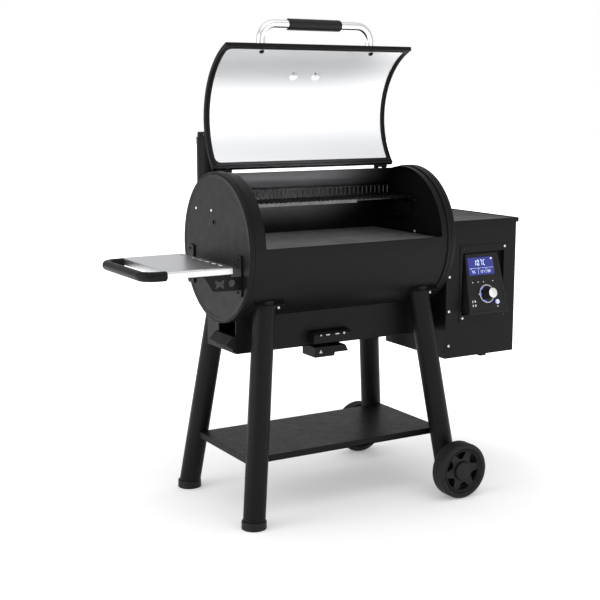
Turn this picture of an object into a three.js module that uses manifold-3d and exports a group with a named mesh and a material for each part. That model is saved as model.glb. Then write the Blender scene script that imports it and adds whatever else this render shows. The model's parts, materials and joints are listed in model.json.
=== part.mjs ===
// Pellet smoker grill: round cook barrel on splayed legs, lid standing open, pellet hopper on the right.
// Millimetres, +Z up, front towards -Y. X runs along the barrel, Z = 0 is the floor.
import * as THREE from 'three';
import { mergeVertices } from 'three/addons/utils/BufferGeometryUtils.js';
import Module from 'manifold-3d';

const wasm = await Module();
wasm.setup();

// ---------------------------------------------------------------- driving dimensions
const GAP = 0.4;                       // clearance between pieces that touch
const SHEET = 2;                       // thickness of the bent sheet parts
const ARC_STEP = 6;                    // degrees between the facets of the barrel's round parts

const BARREL_LENGTH = 830;
const BARREL_R = 256;                  // outside of the rolled shell
const CAP_R = 260;                     // outside of the end caps' bands
const AXIS_Z = 925.6;                  // height of the barrel's axis, which lies at Y = 0
const MID_X = BARREL_LENGTH / 2;
const CAP_BAND = { left: 25, right: 33 };
const MOUTH = { x0: 58, x1: 772, rear: 75.5, front: 176 };    // degrees from +Y towards +Z

const HINGE = { y: 94.4, z: 1179.5, knuckleR: 5.5, pinR: 2.8 };
const HINGE_SPANS = { left: [57, 111], right: [713, 767] };
const LID = { y: -109.7, z: 1357.7, outer: 273.5, inner: 261, low: -40.2, high: 70, x0: 38, x1: 794.5 };
const LID_FRAME = { side: 19, end: 25 };       // widths of the black border round the liner
const HANDLE = { y: 25, z: 1682, tubeR: 13.5, gripR: 20.2, reach: 223, gripX0: 299, gripX1: 512, bend: 54 };

const LEG_R = 38.5;
const LEG_TOP = { x: 97, y: 165.4, z: 745 };
const LEG_FOOT = { x: 3, y: 257, z: 0 };
const FOOT = { r: 43.5, height: 28, floor: 4 };
const RIGHT_LEG_END = 55;              // the wheeled legs stop short of the floor

const BELLY = { x0: 17, x1: 812, y: 110, z0: 570 };
const SHELF = { x0: 17.4, x1: 821.3, y: 193.3, top: 223.8, lip: 23 };

const WHEEL = { x: 800, z: 102, r: 102, rimR: 80, hubR: 34, boreR: 7 };
const WHEEL_SIDES = {                  // distances of each wheel's two sides from the middle plane
  front: { inner: 314, outer: 378 },
  back: { inner: 290, outer: 345 },
};
const AXLE_R = 6.6;

const SIDE = { x0: -265, x1: -33, y0: -190, y1: 213, top: 885, apron: 25 };
const LOOP = { x: -336, y0: -172, y1: 190, z: 869, r: 16.5, bend: 42 };

const HOPPER = { x0: 842, x1: 1166, y: 194, z0: 477, z1: 971 };
const HOPPER_LID = { x0: 836, x1: 1172, y: 204, z0: 972, z1: 989 };
const HOPPER_HINGE = { y: 209, z: 972, r: 3 };

const PLATE = { x0: 902, x1: 1126, z0: 610, z1: 895 };        // control panel's mounting plate
const NICHE = { x0: 912, x1: 1108, z0: 636, z1: 868, back: -176 };
const PANEL = { x: 1010, topY: -183, topZ: 862, lowY: -240, lowZ: 643, topW: 154, lowW: 181 };

const AUGER = { z: 625, x0: 436, x1: 1000, tubeR: 30, screwR: 26, shaftR: 6, pitch: 58 };
const FIRE_POT = { x: 380, r: 50, z0: 586, z1: 678 };
const CHIMNEY = { x: 132, y: 314, z0: 965, z1: 1287, r: 46, branchZ: 1010, branchR: 38, capTop: 1309 };

const GRATE = { y: 240, z0: 918.4, top: 934, bar: 14, slot: 12 };
const RACK = { x0: 8, x1: 822, y0: -8, y1: 165, z: 1070, wire: 4, fence: 33, pitch: 19.5 };

// ---------------------------------------------------------------- materials
const paint = (color, roughness, metalness) =>
  new THREE.MeshStandardMaterial({ color, roughness, metalness, flatShading: true });
const blackCoat = () => paint(0x18181a, 0.5, 0.35);
const darkSteel = () => paint(0x3b3b3d, 0.55, 0.8);
const stainless = () => paint(0xc9cbcd, 0.3, 1.0);
const polished = () => paint(0xe4e5e6, 0.12, 1.0);
const castIron = () => paint(0x202020, 0.7, 0.4);
const plastic = () => paint(0x121213, 0.45, 0.0);
const rubber = () => paint(0x0e0e0e, 0.8, 0.0);
const lcdBlue = () => paint(0x232a7c, 0.2, 0.0);
const whitePlastic = () => paint(0xdfe6f2, 0.35, 0.0);

// ---------------------------------------------------------------- solids and booleans
const rad = (degrees) => degrees * Math.PI / 180;
const vec = (x, y, z) => new THREE.Vector3(x, y, z);

// Closed manifold solid from a three.js geometry, facing out.
function solid(geometry) {
  const bare = geometry.clone();
  bare.deleteAttribute('normal');
  bare.deleteAttribute('uv');
  const merged = mergeVertices(bare, 1e-3);
  const index = merged.index.array;
  const triangles = [];
  for (let i = 0; i < index.length; i += 3) {
    const [a, b, c] = [index[i], index[i + 1], index[i + 2]];
    if (a !== b && b !== c && c !== a) triangles.push(a, b, c);
  }
  const build = (list) => new wasm.Manifold(new wasm.Mesh({
    numProp: 3,
    vertProperties: new Float32Array(merged.attributes.position.array),
    triVerts: new Uint32Array(list),
  }));
  const body = build(triangles);
  if (body.volume() >= 0) return body;
  for (let i = 0; i < triangles.length; i += 3) {
    [triangles[i + 1], triangles[i + 2]] = [triangles[i + 2], triangles[i + 1]];
  }
  return build(triangles);
}

function toGeometry(body) {
  const mesh = body.getMesh();
  const geometry = new THREE.BufferGeometry();
  geometry.setAttribute('position', new THREE.BufferAttribute(new Float32Array(mesh.vertProperties), 3));
  geometry.setIndex(new THREE.BufferAttribute(new Uint32Array(mesh.triVerts), 1));
  return geometry;
}

const join = (...bodies) => bodies.flat().reduce((sum, body) => sum.add(body));
const cut = (body, ...tools) => tools.flat().reduce((left, tool) => left.subtract(tool), body);

const box = (x0, x1, y0, y1, z0, z1) => solid(
  new THREE.BoxGeometry(x1 - x0, y1 - y0, z1 - z0).translate((x0 + x1) / 2, (y0 + y1) / 2, (z0 + z1) / 2));

// Round bar or cone from point a to point b.
function rod(a, b, r, sides = 20, rEnd = r) {
  const from = vec(...a);
  const run = vec(...b).sub(from);
  const geometry = new THREE.CylinderGeometry(rEnd, r, run.length(), sides);
  geometry.translate(0, run.length() / 2, 0);
  geometry.applyQuaternion(new THREE.Quaternion().setFromUnitVectors(vec(0, 1, 0), run.normalize()));
  return solid(geometry.translate(from.x, from.y, from.z));
}

// Outline extruded along one axis: [y, z] points along X, [x, z] points along Y, [x, y] points along Z.
function prism(points, low, high, axis) {
  const shape = new THREE.Shape(points.map(([u, v]) => new THREE.Vector2(u, v)));
  const geometry = new THREE.ExtrudeGeometry(shape, { depth: high - low, bevelEnabled: false });
  const place = new THREE.Matrix4();
  if (axis === 'x') place.makeBasis(vec(0, 1, 0), vec(0, 0, 1), vec(1, 0, 0)).setPosition(low, 0, 0);
  if (axis === 'y') place.makeBasis(vec(1, 0, 0), vec(0, 0, 1), vec(0, -1, 0)).setPosition(0, high, 0);
  if (axis === 'z') place.setPosition(0, 0, low);
  return solid(geometry.applyMatrix4(place));
}

// Body through equal rings of points, with flat ends.
function loft(rings) {
  const count = rings[0].length;
  const positions = rings.flat(2);
  const index = [];
  for (let r = 0; r + 1 < rings.length; r += 1) {
    for (let i = 0; i < count; i += 1) {
      const [a, b] = [r * count + i, r * count + (i + 1) % count];
      index.push(a, b, b + count, a, b + count, a + count);
    }
  }
  const last = (rings.length - 1) * count;
  for (let i = 1; i + 1 < count; i += 1) index.push(0, i + 1, i, last, last + i, last + i + 1);
  const geometry = new THREE.BufferGeometry();
  geometry.setAttribute('position', new THREE.Float32BufferAttribute(positions, 3));
  geometry.setIndex(index);
  return solid(geometry);
}

// Points of an arc in the YZ plane, on multiples of ARC_STEP so that nested arcs share their facets.
function arcPoints(r, from, to, y = 0, z = AXIS_Z) {
  const angles = [from];
  for (let a = (Math.floor(from / ARC_STEP) + 1) * ARC_STEP; a < to - 0.01; a += ARC_STEP) angles.push(a);
  angles.push(to);
  return angles.map((a) => [y + r * Math.cos(rad(a)), z + r * Math.sin(rad(a))]);
}

const drum = (r, x0, x1) => prism(arcPoints(r, 0, 360).slice(0, -1), x0, x1, 'x');

const arcSlab = (r0, r1, from, to, x0, x1, y = 0, z = AXIS_Z) =>
  prism([...arcPoints(r1, from, to, y, z), ...arcPoints(r0, from, to, y, z).reverse()], x0, x1, 'x');

// Straight runs joined by round bends; the extruder's stations fall on the runs' ends and on the bends.
class BentPath extends THREE.Curve {
  constructor(corners, bend, bendSteps = 6) {
    super();
    this.stations = [corners[0]];
    for (let i = 1; i + 1 < corners.length; i += 1) {
      const toward = corners[i - 1].clone().sub(corners[i]).normalize();
      const away = corners[i + 1].clone().sub(corners[i]).normalize();
      const half = toward.angleTo(away) / 2;
      const centre = corners[i].clone()
        .addScaledVector(toward.clone().add(away).normalize(), bend / Math.sin(half));
      const start = corners[i].clone().addScaledVector(toward, bend / Math.tan(half)).sub(centre);
      const end = corners[i].clone().addScaledVector(away, bend / Math.tan(half)).sub(centre);
      const turn = new THREE.Vector3().crossVectors(start, end).normalize();
      for (let k = 0; k <= bendSteps; k += 1) {
        const arm = start.clone().applyAxisAngle(turn, (k / bendSteps) * start.angleTo(end));
        this.stations.push(centre.clone().add(arm));
      }
    }
    this.stations.push(corners[corners.length - 1]);
  }

  get steps() { return this.stations.length - 1; }

  getPoint(t, target = new THREE.Vector3()) {
    const place = Math.min(Math.max(t, 0), 1) * this.steps;
    const i = Math.min(Math.floor(place), this.steps - 1);
    return target.copy(this.stations[i]).lerp(this.stations[i + 1], place - i);
  }

  getUtoTmapping(u) { return u; }
}

function pipe(corners, r, bend, sides = 12) {
  const path = new BentPath(corners, bend);
  const ring = [];
  for (let i = 0; i < sides; i += 1) {
    const a = (i / sides) * 2 * Math.PI;
    ring.push(new THREE.Vector2(r * Math.cos(a), r * Math.sin(a)));
  }
  return solid(new THREE.ExtrudeGeometry(new THREE.Shape(ring),
    { steps: path.steps, extrudePath: path, bevelEnabled: false }));
}

// Turned body about a line parallel to Y through (x, z); the profile is a list of [radius, y].
function turned(profile, x, z, sides = 28) {
  const points = profile.map(([r, y]) => new THREE.Vector2(r, y));
  return solid(new THREE.LatheGeometry(points, sides).translate(x, 0, z));
}

const closed = (profile) => [...profile, profile[0]];

// Box open at the top or at the bottom, with walls of the sheet's thickness.
function pan(x0, x1, y0, y1, z0, z1, open, wall = SHEET) {
  const low = open === 'bottom' ? z0 - 1 : z0 + wall;
  const high = open === 'top' ? z1 + 1 : z1 - wall;
  return cut(box(x0, x1, y0, y1, z0, z1), box(x0 + wall, x1 - wall, y0 + wall, y1 - wall, low, high));
}

// ---------------------------------------------------------------- the assembly
const grill = new THREE.Group();
grill.position.x = -(LOOP.x - LOOP.r + HOPPER_LID.x1) / 2;    // origin below the middle of the whole grill

function add(name, body, material) {
  const mesh = new THREE.Mesh(toGeometry(body), material);
  mesh.name = name;
  grill.add(mesh);
}

const mirrorX = (x) => BARREL_LENGTH - x;

// ---------------------------------------------------------------- barrel
function barrelShell() {
  const tube = cut(drum(BARREL_R, SHEET + GAP, BARREL_LENGTH - SHEET - GAP),
    drum(BARREL_R - SHEET, 0, BARREL_LENGTH));
  const mouth = arcSlab(BARREL_R - 20, BARREL_R + 20, MOUTH.rear, MOUTH.front, MOUTH.x0, MOUTH.x1);
  const greaseWindow = box(40, 150, -80, 10, 640, 720);
  const fireWindow = box(FIRE_POT.x - 140, FIRE_POT.x + 200, -90, 90, 640, 720);
  const flue = rod([CHIMNEY.x, 150, CHIMNEY.branchZ], [CHIMNEY.x, 300, CHIMNEY.branchZ], CHIMNEY.branchR + 1);
  const rails = [-1, 1].map((s) => {
    const [a, b] = [s * 232, s * (BARREL_R - 1)];
    return box(20, 810, Math.min(a, b), Math.max(a, b), GRATE.z0 - 5.4, GRATE.z0 - GAP);
  });
  return join(cut(tube, mouth, greaseWindow, fireWindow, flue), rails);
}

// Angle ledge on an end cap that carries the warming rack's end.
function rackLedge(side) {
  const at = (x) => (side === 'left' ? x : mirrorX(x));
  const span = (a, b) => [Math.min(at(a), at(b)), Math.max(at(a), at(b))];
  const { y0, y1, z, wire } = RACK;
  const wall = SHEET - 0.5;
  return join(box(...span(wall, 26), y0 - 6, y1 + 6, z - wire - 3, z - wire - GAP),
    box(...span(wall, wall + 2.5), y0 - 6, y1 + 6, z - wire - 18, z - wire - 1));
}

// What is welded to the right cap besides its ledge: the stepped probe guard and the hopper's spacer frame.
function rightCapFittings() {
  const face = BARREL_LENGTH - SHEET + 0.5;
  const guard = join(box(face - 14, face, 8, 106, 996, 1046), box(face - 24, face, 58, 158, 987, 1024));
  const [x0, x1] = [BARREL_LENGTH - 0.5, HOPPER.x0 - GAP];
  const spacer = cut(box(x0, x1, -110, 110, 700, 880), box(x0 - 1, x1 + 1, -90, 90, 720, 860));
  return [guard, spacer];
}

function endCap(side) {
  const band = side === 'left' ? CAP_BAND.left : CAP_BAND.right;
  const [face, rim] = side === 'left' ? [0, band] : [BARREL_LENGTH, BARREL_LENGTH - band];
  const [x0, x1] = [Math.min(face, rim), Math.max(face, rim)];
  const [in0, in1] = side === 'left' ? [SHEET, band + 1] : [rim - 1, BARREL_LENGTH - SHEET];
  const cap = join(cut(drum(CAP_R, x0, x1), drum(BARREL_R + GAP, in0, in1)), rackLedge(side));
  return side === 'left' ? cap : join(cap, rightCapFittings());
}

// Space taken by the barrel and its end bands, for pieces that fit against it.
function barrelRoom(clearance) {
  return join(drum(BARREL_R + clearance, -50, BARREL_LENGTH + 50),
    drum(CAP_R + clearance, -50, CAP_BAND.left + clearance),
    drum(CAP_R + clearance, BARREL_LENGTH - CAP_BAND.right - clearance, BARREL_LENGTH + 50));
}

add('barrel_shell', barrelShell(), blackCoat());
for (const side of ['left', 'right']) add(`${side}_end_cap`, endCap(side), blackCoat());

// ---------------------------------------------------------------- lid and its hinges
const lidSlab = (r0, r1, trim, x0, x1) =>
  arcSlab(r0, r1, LID.low + trim, LID.high - trim, x0, x1, LID.y, LID.z);

const hingeRod = (x0, x1, r) => rod([x0, HINGE.y, HINGE.z], [x1, HINGE.y, HINGE.z], r, 12);

function lidShell() {
  const wall = SHEET - 0.2;
  const lip = 1.6;
  const frameAngle = LID_FRAME.end / LID.inner * 180 / Math.PI;
  const cavity = lidSlab(LID.inner + lip, LID.outer - wall, 0.45, LID.x0 + SHEET, LID.x1 - SHEET);
  const window = lidSlab(LID.inner - 5, LID.inner + lip + 1, frameAngle,
    LID.x0 + LID_FRAME.side, LID.x1 - LID_FRAME.side);
  const reliefs = Object.values(HINGE_SPANS).map(([a, b]) => hingeRod(a - 2, b + 2, HINGE.knuckleR + 0.8));
  return cut(lidSlab(LID.inner, LID.outer, 0, LID.x0, LID.x1), cavity, window, ...reliefs);
}

function lidLiner() {
  const seat = LID.inner + 1.6 + GAP;
  const trim = 8;
  return lidSlab(seat, seat + 1.2, 2.4, LID.x0 + trim, LID.x1 - trim);
}

// Bow in an upright plane whose feet are cut to the outside of the lid.
function lidHandleTube() {
  const { y, z, tubeR, reach, bend } = HANDLE;
  const root = LID.z + LID.outer - 70;
  const [left, right] = [MID_X - reach, MID_X + reach];
  const bow = pipe([vec(left, y, root), vec(left, y, z), vec(right, y, z), vec(right, y, root)], tubeR, bend);
  const lidRoom = prism(arcPoints(LID.outer + GAP, 0, 360, LID.y, LID.z).slice(0, -1), LID.x0, LID.x1, 'x');
  return cut(bow, lidRoom);
}

function lidHandleGrip() {
  const { y, z, tubeR, gripR, gripX0, gripX1 } = HANDLE;
  return cut(rod([gripX0, y, z], [gripX1, y, z], gripR, 20),
    rod([gripX0 - 5, y, z], [gripX1 + 5, y, z], tubeR + 0.6, 20));
}

// Fixed leaf: two outer knuckles with the pin, on webs that stand on a plate bent to the barrel.
function hingeBase([a, b]) {
  const third = (b - a) / 3;
  const webs = [[a, a + third], [b - third, b]];
  return join(arcSlab(BARREL_R + GAP, BARREL_R + 3, 57, 69.2, a, b),
    webs.map(([x0, x1]) => arcSlab(BARREL_R + 1, BARREL_R + 13, 67.9, 69.3, x0, x1)),
    webs.map(([x0, x1]) => hingeRod(x0, x1, HINGE.knuckleR)),
    hingeRod(a, b, HINGE.pinR));
}

// Moving leaf: middle knuckle and the plate screwed to the outside of the lid.
function hingeLeaf([a, b]) {
  const third = (b - a) / 3;
  const seat = LID.outer + GAP;
  const [x0, x1] = [a + third + GAP, b - third - GAP];
  const plate = arcSlab(seat, seat + 2.6, LID.low + 0.6, LID.low + 11, a + 2, b - 2, LID.y, LID.z);
  const tongue = arcSlab(seat, seat + 2.6, LID.low - 1, LID.low + 0.8, x0, x1, LID.y, LID.z);
  return cut(join(plate, tongue, hingeRod(x0, x1, HINGE.knuckleR)), hingeRod(a, b, HINGE.pinR + GAP));
}

add('lid_shell', lidShell(), blackCoat());
add('lid_liner', lidLiner(), stainless());
add('lid_handle_tube', lidHandleTube(), polished());
add('lid_handle_grip', lidHandleGrip(), plastic());
for (const [side, span] of Object.entries(HINGE_SPANS)) {
  add(`hinge_base_${side}`, hingeBase(span), blackCoat());
  add(`hinge_leaf_${side}`, hingeLeaf(span), blackCoat());
}

// ---------------------------------------------------------------- legs, saddles, feet and lower shelf
const CORNERS = [
  { name: 'front_left', left: true, s: -1 }, { name: 'back_left', left: true, s: 1 },
  { name: 'front_right', left: false, s: -1 }, { name: 'back_right', left: false, s: 1 },
];

function legPoint({ left, s }, z) {
  const t = z / LEG_TOP.z;
  const x = LEG_FOOT.x + (LEG_TOP.x - LEG_FOOT.x) * t;
  const y = LEG_FOOT.y + (LEG_TOP.y - LEG_FOOT.y) * t;
  return [left ? x : mirrorX(x), s * y, z];
}

const legRod = (corner, r, low = -30, high = 800) =>
  rod(legPoint(corner, low), legPoint(corner, high), r, 20);

const SADDLE = { thick: 3.5, from: 221, to: 244.6, flange: 18 };
const SADDLE_SPAN = { left: [43, 157], right: [683, 796] };

// Angles round the barrel for the corner's side, given for the front.
const roundBarrel = (corner, from, to) => (corner.s < 0 ? [from, to] : [540 - to, 540 - from]);

function leg(corner) {
  const end = corner.left ? FOOT.floor : RIGHT_LEG_END;
  const tube = cut(legRod(corner, LEG_R), legRod(corner, LEG_R - SHEET, -60, 830));
  const trims = [drum(BARREL_R + SADDLE.thick + 2 * GAP, -100, BARREL_LENGTH + 100),
    arcSlab(BARREL_R - 5, BARREL_R + 70, ...roundBarrel(corner, 190, SADDLE.from + 1.1), -100, 930),
    box(-200, 1100, -500, 500, -100, end)];
  if (!corner.left) {
    trims.push(rod([WHEEL.x, 0, WHEEL.z], [WHEEL.x, corner.s * 400, WHEEL.z], AXLE_R + 2 * GAP, 12));
  }
  return cut(tube, trims);
}

// Plate bent round the underside of the barrel over a leg's head, with a flange above the head.
function saddle(corner) {
  const span = SADDLE_SPAN[corner.left ? 'left' : 'right'];
  const { thick, from, to, flange } = SADDLE;
  const plate = arcSlab(BARREL_R + GAP, BARREL_R + thick, ...roundBarrel(corner, from, to), ...span);
  const rim = arcSlab(BARREL_R + GAP, BARREL_R + flange, ...roundBarrel(corner, from, from + 0.8), ...span);
  return cut(join(plate, rim), barrelRoom(GAP), box(-200, 1100, -BELLY.y - 1, BELLY.y + 1, 400, 900));
}

function foot(corner) {
  const [x, y] = legPoint(corner, FOOT.height / 2);
  const cup = rod([x, y, 0], [x, y, FOOT.height], FOOT.r, 24);
  const socket = cut(legRod(corner, LEG_R + GAP), box(-200, 1100, -500, 500, -100, FOOT.floor - GAP));
  return cut(cup, socket);
}

function lowerShelf() {
  const tray = pan(SHELF.x0, SHELF.x1, -SHELF.y, SHELF.y, SHELF.top - SHELF.lip, SHELF.top, 'bottom');
  return cut(tray, CORNERS.map((corner) => legRod(corner, LEG_R + GAP)));
}

for (const corner of CORNERS) {
  add(`leg_${corner.name}`, leg(corner), blackCoat());
  add(`saddle_${corner.name}`, saddle(corner), blackCoat());
  if (corner.left) add(`foot_${corner.name}`, foot(corner), plastic());
}
add('lower_shelf', lowerShelf(), blackCoat());

// ---------------------------------------------------------------- wheels
function wheelDisc(side, s) {
  const { rimR, hubR, boreR, x, z } = WHEEL;
  const { inner, outer } = WHEEL_SIDES[side];
  const [web0, web1] = [outer - 34, outer - 19];
  const [cap, rim] = [outer - 2, rimR - 6];
  const profile = [[boreR, inner], [hubR - 8, inner], [hubR - 8, web0], [rim, web0], [rim, inner + 6],
    [rimR, inner + 6], [rimR, outer - 7], [rim, outer - 7], [rim, web1], [hubR, web1], [hubR, cap - 5],
    [hubR - 5, cap], [0, cap], [0, cap - 4], [boreR, cap - 4]];
  const disc = turned(closed(profile).map(([r, y]) => [r, s * y]), x, z);
  const window = (turn) => {
    const at = (r, half) => [x + r * Math.cos(turn + half), z + r * Math.sin(turn + half)];
    return prism([at(43, -0.16), at(66, -0.36), at(66, 0.36), at(43, 0.16)], -outer - 5, outer + 5, 'y');
  };
  return cut(disc, Array.from({ length: 6 }, (_, i) => window(rad(37 + 60 * i))));
}

function tyre(side, s) {
  const { rimR, r, x, z } = WHEEL;
  const { inner, outer } = WHEEL_SIDES[side];
  const profile = [[rimR + GAP, inner + 6], [rimR + 6, inner], [r - 11, inner + 1], [r - 3, inner + 5],
    [r, inner + 11], [r, outer - 10], [r - 3, outer - 4], [r - 11, outer], [rimR + 6, outer],
    [rimR + GAP, outer - 7]];
  return turned(closed(profile).map(([radius, y]) => [radius, s * y]), x, z);
}

// Stub axle welded into the leg; a collar fills the room between the leg and the front wheel.
function axle(side, s) {
  const { inner, outer } = WHEEL_SIDES[side];
  const at = (y) => [WHEEL.x, s * y, WHEEL.z];
  const stub = rod(at(212), at(outer - 6.6), AXLE_R, 12);
  return side === 'front' ? join(stub, rod(at(287), at(inner - 0.6), 13, 12)) : stub;
}

for (const [side, s] of [['front', -1], ['back', 1]]) {
  add(`wheel_${side}`, wheelDisc(side, s), plastic());
  add(`tyre_${side}`, tyre(side, s), rubber());
  add(`axle_${side}`, axle(side, s), darkSteel());
}

// ---------------------------------------------------------------- belly box, drawer and ash scoop
const DRAWER = { x1: 215, y0: -103, y1: 17, z0: 577, z1: 622, front: -22 };
const SCOOP = { x0: 307, x1: 446, y0: -150, y1: -62, low: 533, step: 545, top: 569.4 };

function bellyBox() {
  const tub = cut(box(BELLY.x0, BELLY.x1, -BELLY.y, BELLY.y, BELLY.z0, 760),
    box(BELLY.x0 + SHEET, BELLY.x1 - SHEET, -BELLY.y + SHEET, BELLY.y - SHEET, BELLY.z0 + SHEET, 800));
  const drawerWindow = box(BELLY.x0 - 5, BELLY.x0 + 10, DRAWER.y0 - 2, DRAWER.y1 + 2, DRAWER.z0 - 2, 800);
  const ashWindow = box(SCOOP.x0 + 10, SCOOP.x1 - 18, -104, SCOOP.y1 - 6, BELLY.z0 - 5, BELLY.z0 + 10);
  const augerHole = rod([BELLY.x1 - 10, 0, AUGER.z], [BELLY.x1 + 10, 0, AUGER.z], AUGER.tubeR + 1);
  return cut(tub, barrelRoom(GAP), drawerWindow, ashWindow, augerHole);
}

// Grease drawer: an open tray behind a sloped front that stands out of the box's left end.
function greaseDrawer() {
  const { x1, y0, y1, z0, z1, front } = DRAWER;
  const tray = pan(BELLY.x0 - 8, x1, y0, y1, z0, z1, 'top');
  const back = BELLY.x0 - GAP;
  const face = prism([[back, 633], [4, 633], [front, 605.5], [11, 585], [back, 585]], -114, 20, 'y');
  const scoopedBack = prism([[BELLY.x0 + 1, 628], [5, 628], [front + 7, 605.5], [BELLY.x0 + 1, 590]],
    y0 + 3, y1 - 3, 'y');
  return cut(join(face, tray), scoopedBack);
}

// Ash scoop: a stepped tray that hangs below the box's floor and draws out to the front.
function ashScoop() {
  const { x0, x1, y0, y1, low, step, top } = SCOOP;
  const side = [[x0, top], [x0, low], [x0 + 79, low], [x0 + 83, step], [x1, step], [x1 - 13, top]];
  const inside = [[x0 + 2, top + 2], [x0 + 2, low + 2], [x0 + 78, low + 2], [x0 + 82, step + 2],
    [x1 - 3, step + 2], [x1 - 15, top + 2]];
  return cut(prism(side, y0, y1, 'y'), prism(inside, y0 + SHEET, y1 - SHEET, 'y'));
}

// Cover plate above the scoop, a shallow box on the front of the belly box.
function cleanoutCover() {
  const { x0, x1, y0 } = SCOOP;
  const back = -BELLY.y - GAP;
  const outline = (inset) => [[back + inset, 625 - inset], [y0 + 8, 621 - inset], [y0 + inset, 613],
    [y0 + inset, 583 + inset], [back + inset, 583 + inset]];
  const shell = prism(outline(0), x0 - 4, x1 + 10, 'x');
  const hollow = prism(outline(SHEET).map(([y, z]) => [y > -130 ? y + 6 : y, z]), x0 - 2, x1 + 8, 'x');
  return cut(shell, hollow);
}

add('belly_box', bellyBox(), blackCoat());
add('grease_drawer', greaseDrawer(), blackCoat());
add('ash_scoop', ashScoop(), blackCoat());
add('cleanout_cover', cleanoutCover(), blackCoat());

// ---------------------------------------------------------------- burner and drip parts inside the barrel
function firePot() {
  const { x, r, z0, z1 } = FIRE_POT;
  const cup = cut(rod([x, 0, z0], [x, 0, z1], r, 28), rod([x, 0, z0 + 3], [x, 0, z1 + 5], r - 3, 28));
  const feet = box(x - 30, x + 30, -30, 30, BELLY.z0 + SHEET + GAP, z0 + 1);
  return cut(join(cup, feet), rod([x, 0, AUGER.z], [x + 80, 0, AUGER.z], AUGER.screwR));
}

function heatDeflector() {
  return prism([[-170, 762], [0, 800], [170, 762], [170, 765], [0, 803], [-170, 765]], 60, 770, 'x');
}

function greaseTray() {
  const [low, high, y] = [806, 824, 205];
  const slab = (lift, top) => [[30, low + lift], [800, high + lift], [800, high + top], [30, low + top]];
  return cut(prism(slab(0, 14), -y, y, 'y'), prism([[20, low + 2], [798, high + 2], [798, high + 20],
    [20, low + 20]], -y + SHEET, y - SHEET, 'y'));
}

function cookingGrate(x0, x1) {
  const slots = [];
  for (let x = x0 + GRATE.bar; x + GRATE.slot < x1 - 4; x += GRATE.bar + GRATE.slot) {
    slots.push(box(x, x + GRATE.slot, -GRATE.y + 20, GRATE.y - 20, GRATE.z0 - 1, GRATE.top + 1));
  }
  return cut(box(x0, x1, -GRATE.y, GRATE.y, GRATE.z0, GRATE.top), slots);
}

function warmingRack() {
  const { x0, x1, y0, y1, z, wire, fence, pitch } = RACK;
  const floorSlots = [];
  for (let x = x0 + wire; x + 2 * pitch - wire < x1; x += 2 * pitch) {
    floorSlots.push(box(x, x + 2 * pitch - wire, y0 + wire, y1 - 2 * wire, z - 10, z + 10));
  }
  const fenceSlots = [];
  for (let x = x0 + 13; x + 8 < x1 - 6; x += pitch) {
    fenceSlots.push(box(x, x + 7.5, y1 - 10, y1 + 10, z + 1, z + fence - 4));
  }
  const floor = cut(box(x0, x1, y0, y1, z - wire, z), floorSlots);
  const fencePlate = cut(box(x0, x1, y1 - 2, y1, z - 1, z + fence), fenceSlots);
  const strip = box(x0 + 22, x1 - 22, y0 - 0.5, y0 + 1.2, z - 12, z - 1);
  return join(floor, fencePlate, strip);
}

add('fire_pot', firePot(), castIron());
add('heat_deflector', heatDeflector(), darkSteel());
add('grease_tray', greaseTray(), darkSteel());
add('main_grate_left', cookingGrate(22, 413.6), castIron());
add('main_grate_right', cookingGrate(416.4, 808), castIron());
add('warming_rack', warmingRack(), polished());

// ---------------------------------------------------------------- chimney
function chimneyPipe() {
  const { x, y, z0, z1, r, branchZ, branchR } = CHIMNEY;
  const wall = 1.8;
  const flange = arcSlab(BARREL_R + GAP, BARREL_R + 3, 8, 31, x - 52, x + 52);
  const outside = join(rod([x, y, z0], [x, y, z1], r),
    cut(rod([x, 200, branchZ], [x, y, branchZ], branchR), drum(BARREL_R + 1, -50, 900)), flange);
  return cut(outside, rod([x, y, z0 + 3], [x, y, z1 + 5], r - wall),
    rod([x, 190, branchZ], [x, y, branchZ], branchR - wall));
}

function chimneyCap() {
  const { x, y, z1, r, capTop } = CHIMNEY;
  const seat = z1 + GAP;
  const outside = join(rod([x, y, z1 - 18], [x, y, capTop], r - 3),
    rod([x, y, seat], [x, y, seat + 3], r + 1.5));
  const slots = Array.from({ length: 6 }, (_, i) => {
    const a = rad(30 * i);
    const [c, s] = [Math.cos(a), Math.sin(a)];
    const at = (u, v) => [x + u * c - v * s, y + u * s + v * c];
    return prism([at(-60, -4), at(60, -4), at(60, 4), at(-60, 4)], seat + 7, capTop - 5, 'z');
  });
  return cut(outside, rod([x, y, z1 - 30], [x, y, capTop - 2.5], r - 5.5), slots);
}

add('chimney_pipe', chimneyPipe(), blackCoat());
add('chimney_cap', chimneyCap(), blackCoat());

// ---------------------------------------------------------------- hopper and feed
function hopperBody() {
  const { x0, x1, y, z0, z1 } = HOPPER;
  const tub = pan(x0, x1, -y, y, z0, z1, 'top');
  const panelWindow = box(NICHE.x0 - 5, NICHE.x1 + 5, -y - 5, -y + 5, NICHE.z0 - 5, NICHE.z1 + 5);
  const augerHole = rod([x0 - 5, 0, AUGER.z], [x0 + 5, 0, AUGER.z], AUGER.tubeR + 1);
  const inletHole = box(1082, 1128, y - 5, y + 5, 522, 548);
  const dropCatch = box(1012, 1040, -189, -170, z0 - 8, z0 + 1);
  return join(cut(tub, panelWindow, augerHole, inletHole), dropCatch);
}

function hopperLid() {
  const { x0, x1, y, z0, z1 } = HOPPER_LID;
  return pan(x0, x1, -y, y, z0, z1, 'bottom');
}

// Hinge rod of the hopper lid with two ears on the hopper's back.
function hopperHinge() {
  const { y, z, r } = HOPPER_HINGE;
  const ears = [[880, 900], [1108, 1128]].map(([a, b]) =>
    box(a, b, HOPPER.y + GAP, y + 0.5, z - 22, z - GAP));
  return join(rod([876, y, z], [1132, y, z], r, 16), ears);
}

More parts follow.
